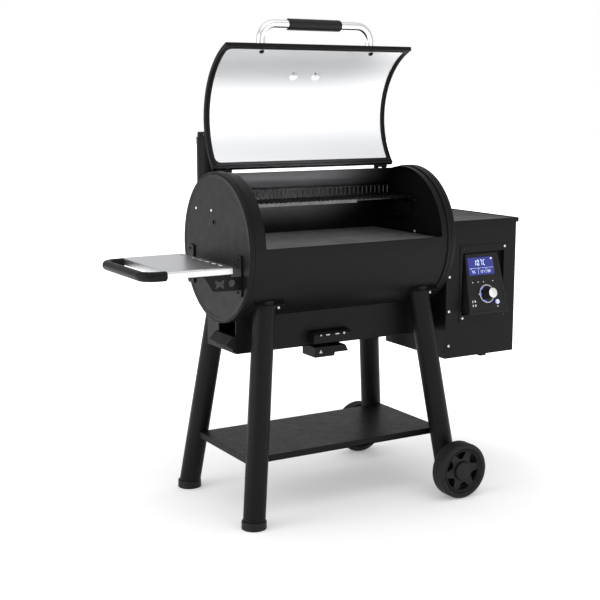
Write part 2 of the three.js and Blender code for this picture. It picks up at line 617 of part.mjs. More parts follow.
const rectangle = (x0, x1, y0, y1, z) => [[x0, y0, z], [x1, y0, z], [x1, y1, z], [x0, y1, z]];

// Sloping funnel that leads the pellets down to the auger.
function hopperFunnel() {
  const mouth = [HOPPER.x0 + SHEET + 1, HOPPER.x1 - SHEET - 1, -168, HOPPER.y - SHEET - 1];
  const throat = [942, 998, -20, 20];
  const grow = ([a, b, c, d], by) => [a - by, b + by, c - by, d + by];
  const outside = loft([rectangle(...throat, 657), rectangle(...mouth, 895)]);
  const inside = loft([rectangle(...grow(throat, -SHEET), 650), rectangle(...grow(throat, -SHEET), 657),
    rectangle(...grow(mouth, -SHEET), 895), rectangle(...grow(mouth, -SHEET), 900)]);
  return cut(outside, inside);
}

function pelletGuard() {
  const [x0, x1, y, z] = [846, 1162, 188, 898];
  const slots = [];
  for (let x = x0 + 8; x + 26 < x1; x += 31) slots.push(box(x, x + 26, -y + 8, y - 8, z - 1, z + 5));
  return cut(box(x0, x1, -y, y, z, z + 3), slots);
}

function augerTube() {
  const { x0, x1, z, tubeR } = AUGER;
  return cut(rod([x0, 0, z], [x1, 0, z], tubeR, 24), rod([x0 - 5, 0, z], [x1 + 5, 0, z], tubeR - 2.4, 24),
    box(946, 994, -17, 17, z, z + 50));
}

// Screw: shaft with one long helical flight.
function augerScrew() {
  const { x0, x1, z, screwR, shaftR, pitch } = AUGER;
  const [from, turnSteps] = [x0 + 6, 8];
  const steps = Math.floor((x1 - 8 - from) / pitch * turnSteps);
  const rings = [];
  for (let i = 0; i <= steps; i += 1) {
    const a = (i / turnSteps) * 2 * Math.PI;
    const x = from + (i / turnSteps) * pitch;
    const at = (r, dx) => [x + dx, r * Math.cos(a), z + r * Math.sin(a)];
    rings.push([at(shaftR - 2, 0), at(shaftR - 2, 4), at(screwR, 3.2), at(screwR, 0.8)]);
  }
  return join(rod([from - 3, 0, z], [x1 + 16, 0, z], shaftR, turnSteps), loft(rings));
}

function augerMotor() {
  const x0 = AUGER.x1 + 1;
  const gearbox = box(x0, x0 + 42, -36, 36, AUGER.z - 34, AUGER.z + 30);
  return cut(join(gearbox, rod([x0 + 40, 0, AUGER.z - 2], [x0 + 96, 0, AUGER.z - 2], 26, 24)),
    rod([x0 - 5, 0, AUGER.z], [x0 + 20, 0, AUGER.z], AUGER.shaftR + GAP, 16));
}

const FAN = { x: 930, z: 560, y0: 70, y1: 116, r: 52 };

function fanHousing() {
  const { x, z, y0, y1, r } = FAN;
  const outside = join(turned([[0, y0], [r, y0], [r, y1], [0, y1]], x, z),
    box(x - 70, x, y0, y1, z + 12, z + r));
  return cut(outside, turned([[0, y0 + 2], [r - 2, y0 + 2], [r - 2, y1 - 2], [0, y1 - 2]], x, z),
    box(x - 80, x - 5, y0 + 2, y1 - 2, z + 14, z + r - 2), rod([x, y1 - 5, z], [x, y1 + 5, z], 30, 24));
}

function fanImpeller() {
  const { x, z, y0, r } = FAN;
  const blades = Array.from({ length: 8 }, (_, i) => {
    const a = rad(45 * i);
    const at = (u, v) => [x + u * Math.cos(a) - v * Math.sin(a), z + u * Math.sin(a) + v * Math.cos(a)];
    return prism([at(4, -1.2), at(r - 8, -1.2), at(r - 8, 1.2), at(4, 1.2)], y0 + 5, y0 + 34, 'y');
  });
  const disc = rod([x, y0 + 4, z], [x, y0 + 7, z], r - 7, 24);
  return join(disc, rod([x, y0 + 4, z], [x, y0 + 36, z], 9, 16), blades);
}

function powerInlet() {
  const y = HOPPER.y + GAP;
  return cut(join(box(1076, 1134, y, y + 5, 516, 554), box(1084, 1126, y - 30, y + 1, 524, 546)),
    box(1088, 1122, y - 22, y + 8, 528, 542));
}

add('hopper_body', hopperBody(), blackCoat());
add('hopper_lid', hopperLid(), blackCoat());
add('hopper_hinge', hopperHinge(), darkSteel());
add('hopper_funnel', hopperFunnel(), darkSteel());
add('pellet_guard', pelletGuard(), darkSteel());
add('auger_tube', augerTube(), darkSteel());
add('auger_screw', augerScrew(), darkSteel());
add('auger_motor', augerMotor(), darkSteel());
add('fan_housing', fanHousing(), plastic());
add('fan_impeller', fanImpeller(), darkSteel());
add('power_inlet', powerInlet(), plastic());

// ---------------------------------------------------------------- control panel
const panelDown = vec(0, PANEL.lowY - PANEL.topY, PANEL.lowZ - PANEL.topZ).normalize();
const panelOut = vec(0, panelDown.z, -panelDown.y);
// Point on the sloped face: across from its middle, down from its top edge, out from its surface.
const panelPoint = (across, down, out) => vec(PANEL.x + across, PANEL.topY, PANEL.topZ)
  .addScaledVector(panelDown, down).addScaledVector(panelOut, out).toArray();
const panelBlock = (a0, a1, d0, d1, o0, o1) => loft([o0, o1].map((o) =>
  [panelPoint(a0, d0, o), panelPoint(a1, d0, o), panelPoint(a1, d1, o), panelPoint(a0, d1, o)]));

const SCREEN = { a0: -68, a1: 50, d0: 16, d1: 82 };
const KNOB = { across: 6, down: 154, r: 24, capR: 18, height: 31 };
const POWER = { across: 45, down: 187, r: 8.5 };

function controlPlate() {
  const y = -HOPPER.y - GAP;
  const { x0, x1, z0, z1, back } = NICHE;
  const face = box(PLATE.x0, PLATE.x1, y - SHEET, y, PLATE.z0, PLATE.z1);
  const niche = box(x0 - 4, x1 + 4, y - 1, back, z0 - 4, z1 + 4);
  return cut(join(face, niche), box(x0, x1, y - 10, back - SHEET, z0, z1));
}

function controlHousing() {
  const back = NICHE.back - SHEET - GAP;
  const ring = (y0, y1, shrink) => [
    [PANEL.x - PANEL.topW / 2 + shrink, y0, PANEL.topZ - shrink],
    [PANEL.x + PANEL.topW / 2 - shrink, y0, PANEL.topZ - shrink],
    [PANEL.x + PANEL.lowW / 2 - shrink, y1, PANEL.lowZ + shrink],
    [PANEL.x - PANEL.lowW / 2 + shrink, y1, PANEL.lowZ + shrink]];
  const wedge = loft([ring(PANEL.topY, PANEL.lowY, 0), ring(back, back, 0)]);
  const hollow = loft([ring(PANEL.topY + 3, PANEL.lowY + 16, 4), ring(back + 5, back + 5, 4)]);
  const { a0, a1, d0, d1 } = SCREEN;
  const { across, down, r } = POWER;
  return cut(wedge, cut(hollow, box(900, 1120, -200, -170, 790, 870)),
    panelBlock(a0, a1, d0, d1, -3, 10),
    rod(panelPoint(across, down, -6), panelPoint(across, down, 10), r + GAP, 20));
}

function controlKnob() {
  const { across, down, r, capR, height } = KNOB;
  return rod(panelPoint(across, down, GAP), panelPoint(across, down, height), r, 28, capR);
}

function powerButton() {
  const { across, down, r } = POWER;
  return rod(panelPoint(across, down, -3), panelPoint(across, down, 2.5), r, 20);
}

add('control_plate', controlPlate(), blackCoat());
add('control_housing', controlHousing(), plastic());
add('control_screen',
  panelBlock(SCREEN.a0 + GAP, SCREEN.a1 - GAP, SCREEN.d0 + GAP, SCREEN.d1 - GAP, -2.6, -0.6), lcdBlue());
add('control_knob', controlKnob(), plastic());
add('power_button', powerButton(), whitePlastic());

// ---------------------------------------------------------------- side shelf
function sideShelf() {
  const top = pan(SIDE.x0, SIDE.x1, SIDE.y0, SIDE.y1, SIDE.top - SIDE.apron, SIDE.top, 'bottom');
  const slots = [];
  for (let y = -150; y < 180; y += 50) slots.push(box(-56, -49, y, y + 34, SIDE.top - 5, SIDE.top + 5));
  return cut(top, slots);
}

function shelfHandle() {
  const at = (x, y) => vec(x, y, LOOP.z);
  const root = SIDE.x0 - GAP;
  return pipe([at(root, LOOP.y0), at(LOOP.x, LOOP.y0), at(LOOP.x, LOOP.y1), at(root, LOOP.y1)],
    LOOP.r, LOOP.bend);
}

// Bracket plate under the shelf, with a flange on the end cap and openings for a bottle and a hook.
const BRACKET = {
  front: { plate: [-187.6, -185.1], flange: [-193, -152] },
  back: { plate: [172, 174.5], flange: [172, 222] },
};

function shelfBracket({ plate: [y0, y1], flange: [f0, f1] }) {
  const top = SIDE.top - SHEET - GAP;
  const plate = prism([[-140, top], [-140, 860], [-128, 848], [-104, 806], [-4.5, 803], [-4.5, 850],
    [-36, 850], [-36, top]], y0, y1, 'y');
  const flange = box(-4.5, -GAP, f0, f1, 779, 918);
  return cut(join(plate, flange), rod([-41, y0 - 10, 825], [-41, y1 + 10, 825], 9, 16),
    box(-103, -80, y0 - 10, y1 + 10, 818, 834));
}

add('side_shelf', sideShelf(), stainless());
add('shelf_handle', shelfHandle(), blackCoat());
for (const [side, place] of Object.entries(BRACKET)) {
  add(`shelf_bracket_${side}`, shelfBracket(place), blackCoat());
}

export default grill;
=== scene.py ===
import json
import math

import bmesh
import bpy
from mathutils import Matrix, Vector


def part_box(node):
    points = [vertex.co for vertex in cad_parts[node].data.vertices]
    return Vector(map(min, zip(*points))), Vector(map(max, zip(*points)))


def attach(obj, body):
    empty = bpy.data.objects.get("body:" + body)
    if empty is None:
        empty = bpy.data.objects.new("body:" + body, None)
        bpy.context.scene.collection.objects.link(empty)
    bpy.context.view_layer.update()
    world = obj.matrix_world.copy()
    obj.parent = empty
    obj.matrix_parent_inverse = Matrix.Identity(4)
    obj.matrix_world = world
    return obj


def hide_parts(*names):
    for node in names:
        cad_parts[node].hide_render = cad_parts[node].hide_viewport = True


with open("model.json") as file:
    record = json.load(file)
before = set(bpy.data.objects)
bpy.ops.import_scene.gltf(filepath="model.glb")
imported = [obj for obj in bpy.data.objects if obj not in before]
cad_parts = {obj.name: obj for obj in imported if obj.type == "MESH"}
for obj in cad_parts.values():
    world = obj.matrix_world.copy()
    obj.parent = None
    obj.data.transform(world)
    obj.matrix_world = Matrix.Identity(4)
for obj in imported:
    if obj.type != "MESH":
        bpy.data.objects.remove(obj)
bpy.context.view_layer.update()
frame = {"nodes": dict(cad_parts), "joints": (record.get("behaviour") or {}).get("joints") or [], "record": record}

# Pellet smoker grill. Meshes are built in millimetres, with X counted from the barrel's left end, Y to the
# back and Z up from the floor, and are moved into the frame's metres at the end.
MM = 0.001
BARREL_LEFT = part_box("left_end_cap")[0].x
TO_FRAME = Matrix.Translation((BARREL_LEFT, 0, 0)) @ Matrix.Scale(MM, 4)


def span(node):
    """Lowest and highest corner of a CAD node, in millimetres from the barrel's left end."""
    low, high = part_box(node)
    back = TO_FRAME.inverted()
    return back @ low, back @ high


BODY_OF = {node: body for body, nodes in frame["record"]["behaviour"]["bodies"].items() for node in nodes}
SLOT_OF = {part["node"]: part["material_slot"] for part in frame["record"]["subparts"]}

CAP_LOW, CAP_HIGH = span("left_end_cap")
AXIS_Z = (CAP_LOW.z + CAP_HIGH.z) / 2
CAP_R = (CAP_HIGH.z - CAP_LOW.z) / 2
BARREL_LOW, BARREL_HIGH = span("barrel_shell")
BARREL_R = (BARREL_HIGH.z - BARREL_LOW.z) / 2
BARREL_LENGTH = 830


# ---- camera, light and floor
CAMERA_PLACE = (-2.18555, -3.6026, 1.4328)
CAMERA_DOWN, CAMERA_RIGHT = 9.76, 30.35     # degrees below level, and to the right of straight back
LENS, SENSOR = 70.67, 36
MIDDLE = (0, 0, 0.9)
SOFTBOXES = (      # name, place, width, height, watts, and whether shiny parts mirror it
    ("light_top", (-0.4, -0.6, 4.2), 4.5, 3.5, 30, True),
    ("light_left", (-4.2, 0.2, 1.9), 2.6, 3.0, 56, True),
    ("light_front", (1.2, -5.2, 2.2), 4.5, 2.6, 32, True),
    ("light_back", (1.0, 5.2, 2.4), 6.0, 2.6, 20, False),
)
CHAMBER_LIGHT = ("light_chamber", (-0.1, -0.19, 1.0), 0.56, 0.05, 10, False)
CHAMBER_AIM, CHAMBER_SPREAD = (-0.08, 0.12, 1.13), 58
WORLD_LIGHT, WORLD_SEEN = (0.74, 0.74, 0.75), (1, 1, 1)
FLOOR_HALF = 30
FLOOR_GLOW, FLOOR_GLOW_REACH = (0.22, 1.0), (0.8, 2.4)     # strength, and metres from the grill's middle


def new_object(name, data):
    made = bpy.data.objects.new(name, data)
    bpy.context.scene.collection.objects.link(made)
    return made


def make_camera():
    data = bpy.data.cameras.new("camera")
    data.lens = LENS
    data.sensor_width = SENSOR
    camera = new_object("camera", data)
    camera.location = CAMERA_PLACE
    camera.rotation_euler = (math.radians(90 - CAMERA_DOWN), 0, math.radians(-CAMERA_RIGHT))
    bpy.context.scene.camera = camera


def softbox(name, place, width, height, watts, glossy, aim=MIDDLE):
    data = bpy.data.lights.new(name, "AREA")
    data.shape = "RECTANGLE"
    data.size, data.size_y = width, height
    data.energy = watts
    light = new_object(name, data)
    light.location = place
    light.rotation_euler = (Vector(aim) - Vector(place)).to_track_quat("-Z", "Y").to_euler()
    light.visible_camera = False
    light.visible_glossy = glossy
    return data


def make_studio():
    for row in SOFTBOXES:
        softbox(*row)
    # This one lies inside the barrel, behind its front wall, and lights the back of the chamber.
    softbox(*CHAMBER_LIGHT, aim=CHAMBER_AIM).spread = math.radians(CHAMBER_SPREAD)
    world = bpy.data.worlds.new("studio")
    bpy.context.scene.world = world
    world.use_nodes = True
    nodes = world.node_tree.nodes
    links = world.node_tree.links
    nodes.clear()
    output = nodes.new("ShaderNodeOutputWorld")
    mix = nodes.new("ShaderNodeMixShader")
    path = nodes.new("ShaderNodeLightPath")
    links.new(path.outputs["Is Camera Ray"], mix.inputs["Fac"])
    for socket, color in ((1, WORLD_LIGHT), (2, WORLD_SEEN)):
        background = nodes.new("ShaderNodeBackground")
        background.inputs["Color"].default_value = (*color, 1)
        links.new(background.outputs["Background"], mix.inputs[socket])
    links.new(mix.outputs["Shader"], output.inputs["Surface"])
    bpy.context.scene.view_settings.view_transform = "Standard"


def make_floor():
    """Plain pale floor that grows lighter away from the grill, until it meets the white behind it; the lightening
    is a painted glow whose strength rises with distance.
    """
    mesh = bpy.data.meshes.new("floor")
    corners = [(x * FLOOR_HALF, y * FLOOR_HALF, 0) for x, y in ((-1, -1), (1, -1), (1, 1), (-1, 1))]
    mesh.from_pydata(corners, [], [(0, 1, 2, 3)])
    floor = new_object("floor", mesh)
    recipe = Recipe("floor_white", (0.93, 0.93, 0.93), 0.9, specular=0.0)
    recipe.set("Emission Color", (1, 1, 1, 1))
    away = recipe.nodes.new("ShaderNodeVectorMath")
    away.operation = "LENGTH"
    recipe.links.new(recipe.place, away.inputs[0])
    strength = recipe.spread(away.outputs["Value"], *FLOOR_GLOW, *FLOOR_GLOW_REACH)
    recipe.links.new(strength, recipe.shader.inputs["Emission Strength"])
    mesh.materials.append(recipe.material)


# ---- materials
class Recipe:
    """Node tree of one material round a Principled shader, with textures in the object's own metres."""

    def __init__(self, name, color, roughness, metallic=0.0, specular=0.5):
        self.material = bpy.data.materials.new(name)
        self.material.use_nodes = True
        self.nodes = self.material.node_tree.nodes
        self.links = self.material.node_tree.links
        self.shader = self.nodes["Principled BSDF"]
        self.color = color
        self.roughness = roughness
        self.set("Base Color", (*color, 1))
        self.set("Roughness", roughness)
        self.set("Metallic", metallic)
        self.set("Specular IOR Level", specular)
        self.place = self.nodes.new("ShaderNodeTexCoord").outputs["Object"]

    def set(self, socket, value):
        self.shader.inputs[socket].default_value = value

    def node(self, kind, settings):
        made = self.nodes.new("ShaderNode" + kind)
        for socket, value in settings.items():
            made.inputs[socket].default_value = value
        return made

    def noise(self, scale, detail=2.0, rough=0.5, stretch=None):
        texture = self.node("TexNoise", {"Scale": scale, "Detail": detail, "Roughness": rough})
        place = self.place
        if stretch:
            mapping = self.node("Mapping", {"Scale": stretch})
            self.links.new(place, mapping.inputs["Vector"])
            place = mapping.outputs["Vector"]
        self.links.new(place, texture.inputs["Vector"])
        return texture.outputs["Fac"]

    def spread(self, value, low, high, from_low=0.3, from_high=0.7):
        """The value with its range between two limits moved to new ones."""
        ramp = self.node("MapRange", {"From Min": from_low, "From Max": from_high,
                                      "To Min": low, "To Max": high})
        self.links.new(value, ramp.inputs["Value"])
        return ramp.outputs["Result"]

    def vary_roughness(self, value, amount):
        self.links.new(self.spread(value, self.roughness - amount, self.roughness + amount),
                       self.shader.inputs["Roughness"])

    def vary_color(self, value, low, high):
        mix = self.nodes.new("ShaderNodeMix")
        mix.data_type = "RGBA"
        mix.inputs["A"].default_value = (*low, 1)
        mix.inputs["B"].default_value = (*high, 1)
        self.links.new(self.spread(value, 0, 1), mix.inputs["Factor"])
        self.links.new(mix.outputs["Result"], self.shader.inputs["Base Color"])

    def bump(self, value, strength, distance):
        bump = self.node("Bump", {"Strength": strength, "Distance": distance})
        self.links.new(value, bump.inputs["Height"])
        before = self.shader.inputs["Normal"].links
        if before:
            self.links.new(before[0].from_socket, bump.inputs["Normal"])
        self.links.new(bump.outputs["Normal"], self.shader.inputs["Normal"])

    def glow(self, color, strength):
        self.set("Emission Color", (*color, 1))
        self.set("Emission Strength", strength)

    def speckled(self, mottle, tint=None, bumps=()):
        """The material with noise in roughness (scale, detail, amount), in colour (scale, detail, darkest,
        lightest) and in the surface (scale, detail, strength, distance)."""
        if tint:
            scale, detail, low, high = tint
            self.vary_color(self.noise(scale, detail), low, high)
        if mottle:
            scale, detail, amount = mottle
            self.vary_roughness(self.noise(scale, detail), amount)
        for scale, detail, strength, distance in bumps:
            self.bump(self.noise(scale, detail), strength, distance)
        return self.material

    def grained(self, stretch, low, high, amount):
        """Noise drawn out along X, in colour and roughness."""
        grain = self.noise(1, 6, 0.7, stretch)
        self.vary_color(grain, shade(self.color, low), shade(self.color, high))
        self.vary_roughness(grain, amount)
        return grain


def shade(color, factor):
    return tuple(channel * factor for channel in color)


def powder_coat():
    color = (0.0062, 0.0062, 0.0065)
    recipe = Recipe("black_powder_coat", color, 0.42, specular=0.11)
    return recipe.speckled((30, 5, 0.04), (14, 4, shade(color, 0.98), shade(color, 1.02)),
                           [(900, 3, 0.12, 0.0004), (260, 2, 0.05, 0.001)])


def heat_dark_steel():
    recipe = Recipe("heat_dark_steel", (0.03, 0.029, 0.028), 0.5, metallic=0.7)
    return recipe.speckled((60, 4, 0.12), (14, 5, (0.022, 0.021, 0.02), (0.05, 0.045, 0.04)),
                           [(500, 3, 0.1, 0.0004)])


def brushed_stainless():
    recipe = Recipe("brushed_stainless", (0.66, 0.665, 0.67), 0.34, metallic=1.0)
    grain = recipe.grained((6, 2600, 2600), 0.94, 1.04, 0.05)
    recipe.bump(grain, 0.03, 0.0003)
    return recipe.material


def liner_steel():
    recipe = Recipe("satin_liner_steel", (0.9, 0.905, 0.91), 0.5, metallic=1.0)
    recipe.grained((5, 1500, 1500), 0.97, 1.02, 0.04)
    return recipe.material


def polished_stainless():
    return Recipe("polished_stainless", (0.8, 0.805, 0.81), 0.22, metallic=1.0).speckled((120, 4, 0.03))


def cast_enamel():
    color = (0.2, 0.2, 0.202)
    recipe = Recipe("enamelled_cast_iron", color, 0.36, specular=0.6)
    return recipe.speckled((150, 4, 0.08), (20, 5, shade(color, 0.8), shade(color, 1.3)),
                           [(450, 4, 0.2, 0.0006)])


def moulded_plastic():
    color = (0.009, 0.009, 0.0095)
    recipe = Recipe("moulded_black_plastic", color, 0.42, specular=0.2)
    return recipe.speckled((200, 3, 0.05), (40, 3, shade(color, 0.9), shade(color, 1.15)),
                           [(1500, 2, 0.18, 0.0003)])


def tyre_rubber():
    color = (0.009, 0.009, 0.0095)
    recipe = Recipe("tyre_rubber", color, 0.55, specular=0.22)
    return recipe.speckled(None, (30, 5, shade(color, 0.85), shade(color, 1.3)), [(800, 3, 0.2, 0.0004)])


def blue_display():
    recipe = Recipe("blue_display", (0.02, 0.022, 0.16), 0.22)
    recipe.glow((0.022, 0.025, 0.22), 0.5)
    return recipe.speckled((300, 2, 0.03))


def glow_print(name, color, strength):
    recipe = Recipe(name, color, 0.4)
    recipe.glow(color, strength)
    return recipe.speckled((500, 2, 0.05))


def white_button():
    return Recipe("white_button", (0.66, 0.68, 0.72), 0.35).speckled((300, 2, 0.04))


def rack_steel():
    recipe = Recipe("rack_wire", (0.13, 0.13, 0.13), 0.3, metallic=1.0)
    return recipe.speckled((160, 3, 0.06), (40, 4, (0.1, 0.1, 0.1), (0.16, 0.16, 0.16)))


def screw_zinc():
    return Recipe("zinc_screw", (0.82, 0.82, 0.82), 0.4, metallic=0.8).speckled((400, 2, 0.08))


def pale_print():
    recipe = Recipe("pale_print", (0.5, 0.51, 0.52), 0.45)
    return recipe.speckled(None, (700, 2, (0.46, 0.47, 0.48), (0.55, 0.56, 0.57)))


def knob_cap_steel():
    return Recipe("satin_knob_cap", (0.78, 0.78, 0.78), 0.38, metallic=0.85).speckled((300, 3, 0.06))


def panel_film():
    return Recipe("satin_panel_film", (0.004, 0.004, 0.0042), 0.35, specular=0.08).speckled((220, 3, 0.04))


LINER_STEEL = liner_steel()
RACK_STEEL = rack_steel()
SCREW_ZINC = screw_zinc()
PALE_GLOW = glow_print("display_glow", (0.62, 0.78, 0.95), 0.85)
BLUE_GLOW = glow_print("blue_glow", (0.06, 0.13, 0.7), 0.8)
PALE_PRINT = pale_print()
KNOB_CAP = knob_cap_steel()
PANEL_FILM = panel_film()
SLOT_MATERIALS = {
    "black_coat": powder_coat(), "dark_steel": heat_dark_steel(), "stainless": brushed_stainless(),
    "polished": polished_stainless(), "cast_iron": cast_enamel(), "black_plastic": moulded_plastic(),
    "rubber": tyre_rubber(), "lcd": blue_display(), "white_plastic": white_button(),
}


# ---- mesh building
AXIS_X = Matrix(((0, 0, 1, 0), (1, 0, 0, 0), (0, 1, 0, 0), (0, 0, 0, 1)))
AXIS_Y = Matrix(((0, 1, 0, 0), (0, 0, 1, 0), (1, 0, 0, 0), (0, 0, 0, 1)))


def at(x, y, z, turn=Matrix.Identity(4)):
    return Matrix.Translation((x, y, z)) @ turn


def facing(point, normal):
    """Place whose own Z points along the normal."""
    return Matrix.Translation(point) @ Vector(normal).to_track_quat("Z", "Y").to_matrix().to_4x4()


def circle(r, count, start=0.0):
    turns = (start + 2 * math.pi * i / count for i in range(count))
    return [(r * math.cos(turn), r * math.sin(turn)) for turn in turns]


def corners_of(u0, u1, v0, v1):
    return [(u0, v0), (u1, v0), (u1, v1), (u0, v1)]


def from_edge(r, level, *offsets):
    """Points of a turned profile, given as distances inward from a radius and upward from a level."""
    return [(r - inward, level + up) for inward, up in offsets]


def rounded(u0, u1, v0, v1, radius, cuts=(1, 1), corner=6):
    """Points round a rectangle with round corners; radius may be a list, from (u1, v1) on anticlockwise."""
    radii = radius if isinstance(radius, (list, tuple)) else [radius] * 4
    a, b, c, d = radii
    centres = [(u1 - a, v1 - a), (u0 + b, v1 - b), (u0 + c, v0 + c), (u1 - d, v0 + d)]

    def on_corner(k, share):
        turn = math.radians(90 * (k + share))
        u, v = centres[k % 4]
        return Vector((u + radii[k % 4] * math.cos(turn), v + radii[k % 4] * math.sin(turn)))

    points = []
    for k in range(4):
        points += [on_corner(k, i / corner) for i in range(corner + 1)]
        start, end, count = points[-1], on_corner(k + 1, 0), cuts[k % 2]
        points += [start.lerp(end, i / count) for i in range(1, count)]
    return [tuple(point) for point in points]


def bent(corners, radius, steps=10):
    """Path through corners with round bends."""
    corners = [Vector(corner) for corner in corners]
    points = [corners[0]]
    for before, corner, after in zip(corners, corners[1:], corners[2:]):
        toward = (before - corner).normalized()
        away = (after - corner).normalized()
        half = toward.angle(away) / 2
        centre = corner + (toward + away).normalized() * (radius / math.sin(half))
        start = corner + toward * (radius / math.tan(half)) - centre
        end = corner + away * (radius / math.tan(half)) - centre
        axis = start.cross(end).normalized()
        for k in range(steps + 1):
            points.append(centre + Matrix.Rotation(start.angle(end) * k / steps, 3, axis) @ start)
    return points + [corners[-1]]


def bar_rings(path, radius, sides):
    """Rings of points round a path, without twist."""
    rings, normal = [], None
    for i, point in enumerate(path):
        before, after = path[max(i - 1, 0)], path[min(i + 1, len(path) - 1)]
        tangent = (after - before).normalized()
        if normal is None:
            normal = tangent.orthogonal().normalized()
        normal = (normal - tangent * normal.dot(tangent)).normalized()
        side = tangent.cross(normal)
        rings.append([point + normal * u + side * v for u, v in circle(radius, sides)])
    return rings


class Body:
    """Mesh under construction, in millimetres."""

    def __init__(self):
        self.bm = bmesh.new()

    def face(self, verts):
        corners = list(dict.fromkeys(verts))
        if len(corners) > 2:
            self.bm.faces.new(corners)

    def skin(self, rows, caps, around):
        """Faces between rows of vertices; a row of one vertex is a tip."""
        pairs = list(zip(rows, rows[1:]))
        if around:
            pairs.append((rows[-1], rows[0]))
        for low, high in pairs:
            count = max(len(low), len(high))
            for i in range(count):
                j = (i + 1) % count
                a, b = i % len(low), j % len(low)
                c, d = j % len(high), i % len(high)
                self.face((low[a], low[b], high[c], high[d]))
        if caps and not around:
            self.face(rows[0][::-1])
            self.face(rows[-1])
        return self

    def rings(self, rings, caps=True, around=False):
        return self.skin([[self.bm.verts.new(point) for point in ring] for ring in rings], caps, around)

    def lathe(self, profile, place, sides=72, around=False):
        """Turned body about the place's own Z; the profile is a list of (radius, height)."""
        rows = []
        for r, height in profile:
            spots = circle(r, sides) if r else [(0, 0)]
            rows.append([self.bm.verts.new(place @ Vector((u, v, height))) for u, v in spots])
        return self.skin(rows, False, around)

    def bar(self, path, radius, sides=24):
        return self.rings(bar_rings([Vector(point) for point in path], radius, sides))

    def prism(self, outline, low, high, axis="z"):
        def spot(u, v, level):
            return {"x": (level, u, v), "y": (u, level, v), "z": (u, v, level)}[axis]

        return self.rings([[spot(u, v, level) for u, v in outline] for level in (low, high)])

    def block(self, x0, x1, y0, y1, z0, z1):
        return self.prism(corners_of(x0, x1, y0, y1), z0, z1)

    def sheet(self, us, vs, front, back, keep=lambda u, v: True, wrap=False):
        """Sheet on a grid, with walls round its outside and round the cells that are left out."""
        columns, rows = len(us) - 1, len(vs) - 1
        middle = lambda line, i: (line[i] + line[i + 1]) / 2
        cells = {(i, j) for i in range(columns) for j in range(rows) if keep(middle(us, i), middle(vs, j))}
        made = {}

        def vert(side, i, j):
            key = (side, i, j % rows if wrap else j)
            if key not in made:
                made[key] = self.bm.verts.new((front, back)[side](us[i], vs[key[2]]))
            return made[key]

        for i, j in cells:
            corners = [(i, j), (i + 1, j), (i + 1, j + 1), (i, j + 1)]
            beside = [(i, j - 1), (i + 1, j), (i, j + 1), (i - 1, j)]
            self.face([vert(0, *corner) for corner in corners])
            self.face([vert(1, *corner) for corner in reversed(corners)])
            for k, (column, row) in enumerate(beside):
                if (column, row % rows if wrap else row) not in cells:
                    a, b = corners[k], corners[(k + 1) % 4]
                    self.face([vert(0, *a), vert(1, *a), vert(1, *b), vert(0, *b)])
        return self

    def plug(self, r, low, high, place, sides=48):
        """Solid cylinder about the place's own Z."""
        return self.lathe([(0, low), (r, low), (r, high), (0, high)], place, sides)

    def screw(self, point, normal, r, height=None):
        """Pan head with a small recess."""
        h = height or 0.6 * r
        profile = [(0, 0.4 * h), (0.3 * r, 0.4 * h), (0.36 * r, h), (0.62 * r, 0.9 * h), (0.86 * r, 0.62 * h),
                   (r, 0.2 * h), (r, -0.3), (0, -0.3)]
        return self.lathe(profile, facing(point, normal), 20)


def plain_object(body):
    bmesh.ops.remove_doubles(body.bm, verts=body.bm.verts, dist=0.004)
    bmesh.ops.recalc_face_normals(body.bm, faces=body.bm.faces)
    mesh = bpy.data.meshes.new("work")
    body.bm.to_mesh(mesh)
    body.bm.free()
    return new_object("work", mesh)


def carved(body, *cutters):
    """The body less its cutters."""
    work = [plain_object(part) for part in (body, *cutters)]
    for cutter in work[1:]:
        change = work[0].modifiers.new("carve", "BOOLEAN")
        change.object = cutter
        change.solver = "EXACT"
        change.operation = "DIFFERENCE"
    result = Body()
    result.bm.from_mesh(work[0].evaluated_get(bpy.context.evaluated_depsgraph_get()).to_mesh())
    for item in work:
        bpy.data.objects.remove(item)
    return result


def finish_piece(bm, name, body, slot, bevel=0.0, material=None, smooth=32, replaces=()):
    """Turns a mesh in millimetres into a piece of the grill."""
    bmesh.ops.remove_doubles(bm, verts=bm.verts, dist=0.004)
    bmesh.ops.recalc_face_normals(bm, faces=bm.faces)
    bm.transform(TO_FRAME)
    mesh = bpy.data.meshes.new(name)
    bm.to_mesh(mesh)
    bm.free()
    mesh.shade_smooth()
    mesh.set_sharp_from_angle(angle=math.radians(smooth))
    mesh.materials.append(material or SLOT_MATERIALS[slot])
    piece = new_object(name, mesh)
    if bevel:
        edge = piece.modifiers.new("edges", "BEVEL")
        edge.width = bevel * MM
        edge.segments = 2
        edge.limit_method = "ANGLE"
        edge.angle_limit = math.radians(smooth)
        edge.harden_normals = True
        edge.use_clamp_overlap = False
    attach(piece, body)
    if replaces:
        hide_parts(*replaces)
    return piece


def stand_for(node, made, bevel=0.0, name=None, slot=None, **options):
    """Piece that takes a CAD node's place, on the same body and with the same finish."""
    return finish_piece(made.bm, name or node + "_detailed", BODY_OF[node], slot or SLOT_OF[node], bevel,
                        replaces=[node], **options)


def extra(name, body, slot, made, bevel=0.0, **options):
    """Small piece that has no CAD node of its own."""
    return finish_piece(made.bm, name, body, slot, bevel, **options)


def refined(node, bevel=0.6):
    """The CAD node's own shape with clean faces, rounded edges and smooth curved sides."""
    bm = bmesh.new()
    bm.from_mesh(frame["nodes"][node].data)
    bmesh.ops.remove_doubles(bm, verts=bm.verts, dist=0.00002)
    bmesh.ops.dissolve_limit(bm, angle_limit=math.radians(1.2), verts=bm.verts, edges=bm.edges, delimit=set())
    bm.transform(TO_FRAME.inverted())
    return finish_piece(bm, node + "_detailed", BODY_OF[node], SLOT_OF[node], bevel, replaces=[node])


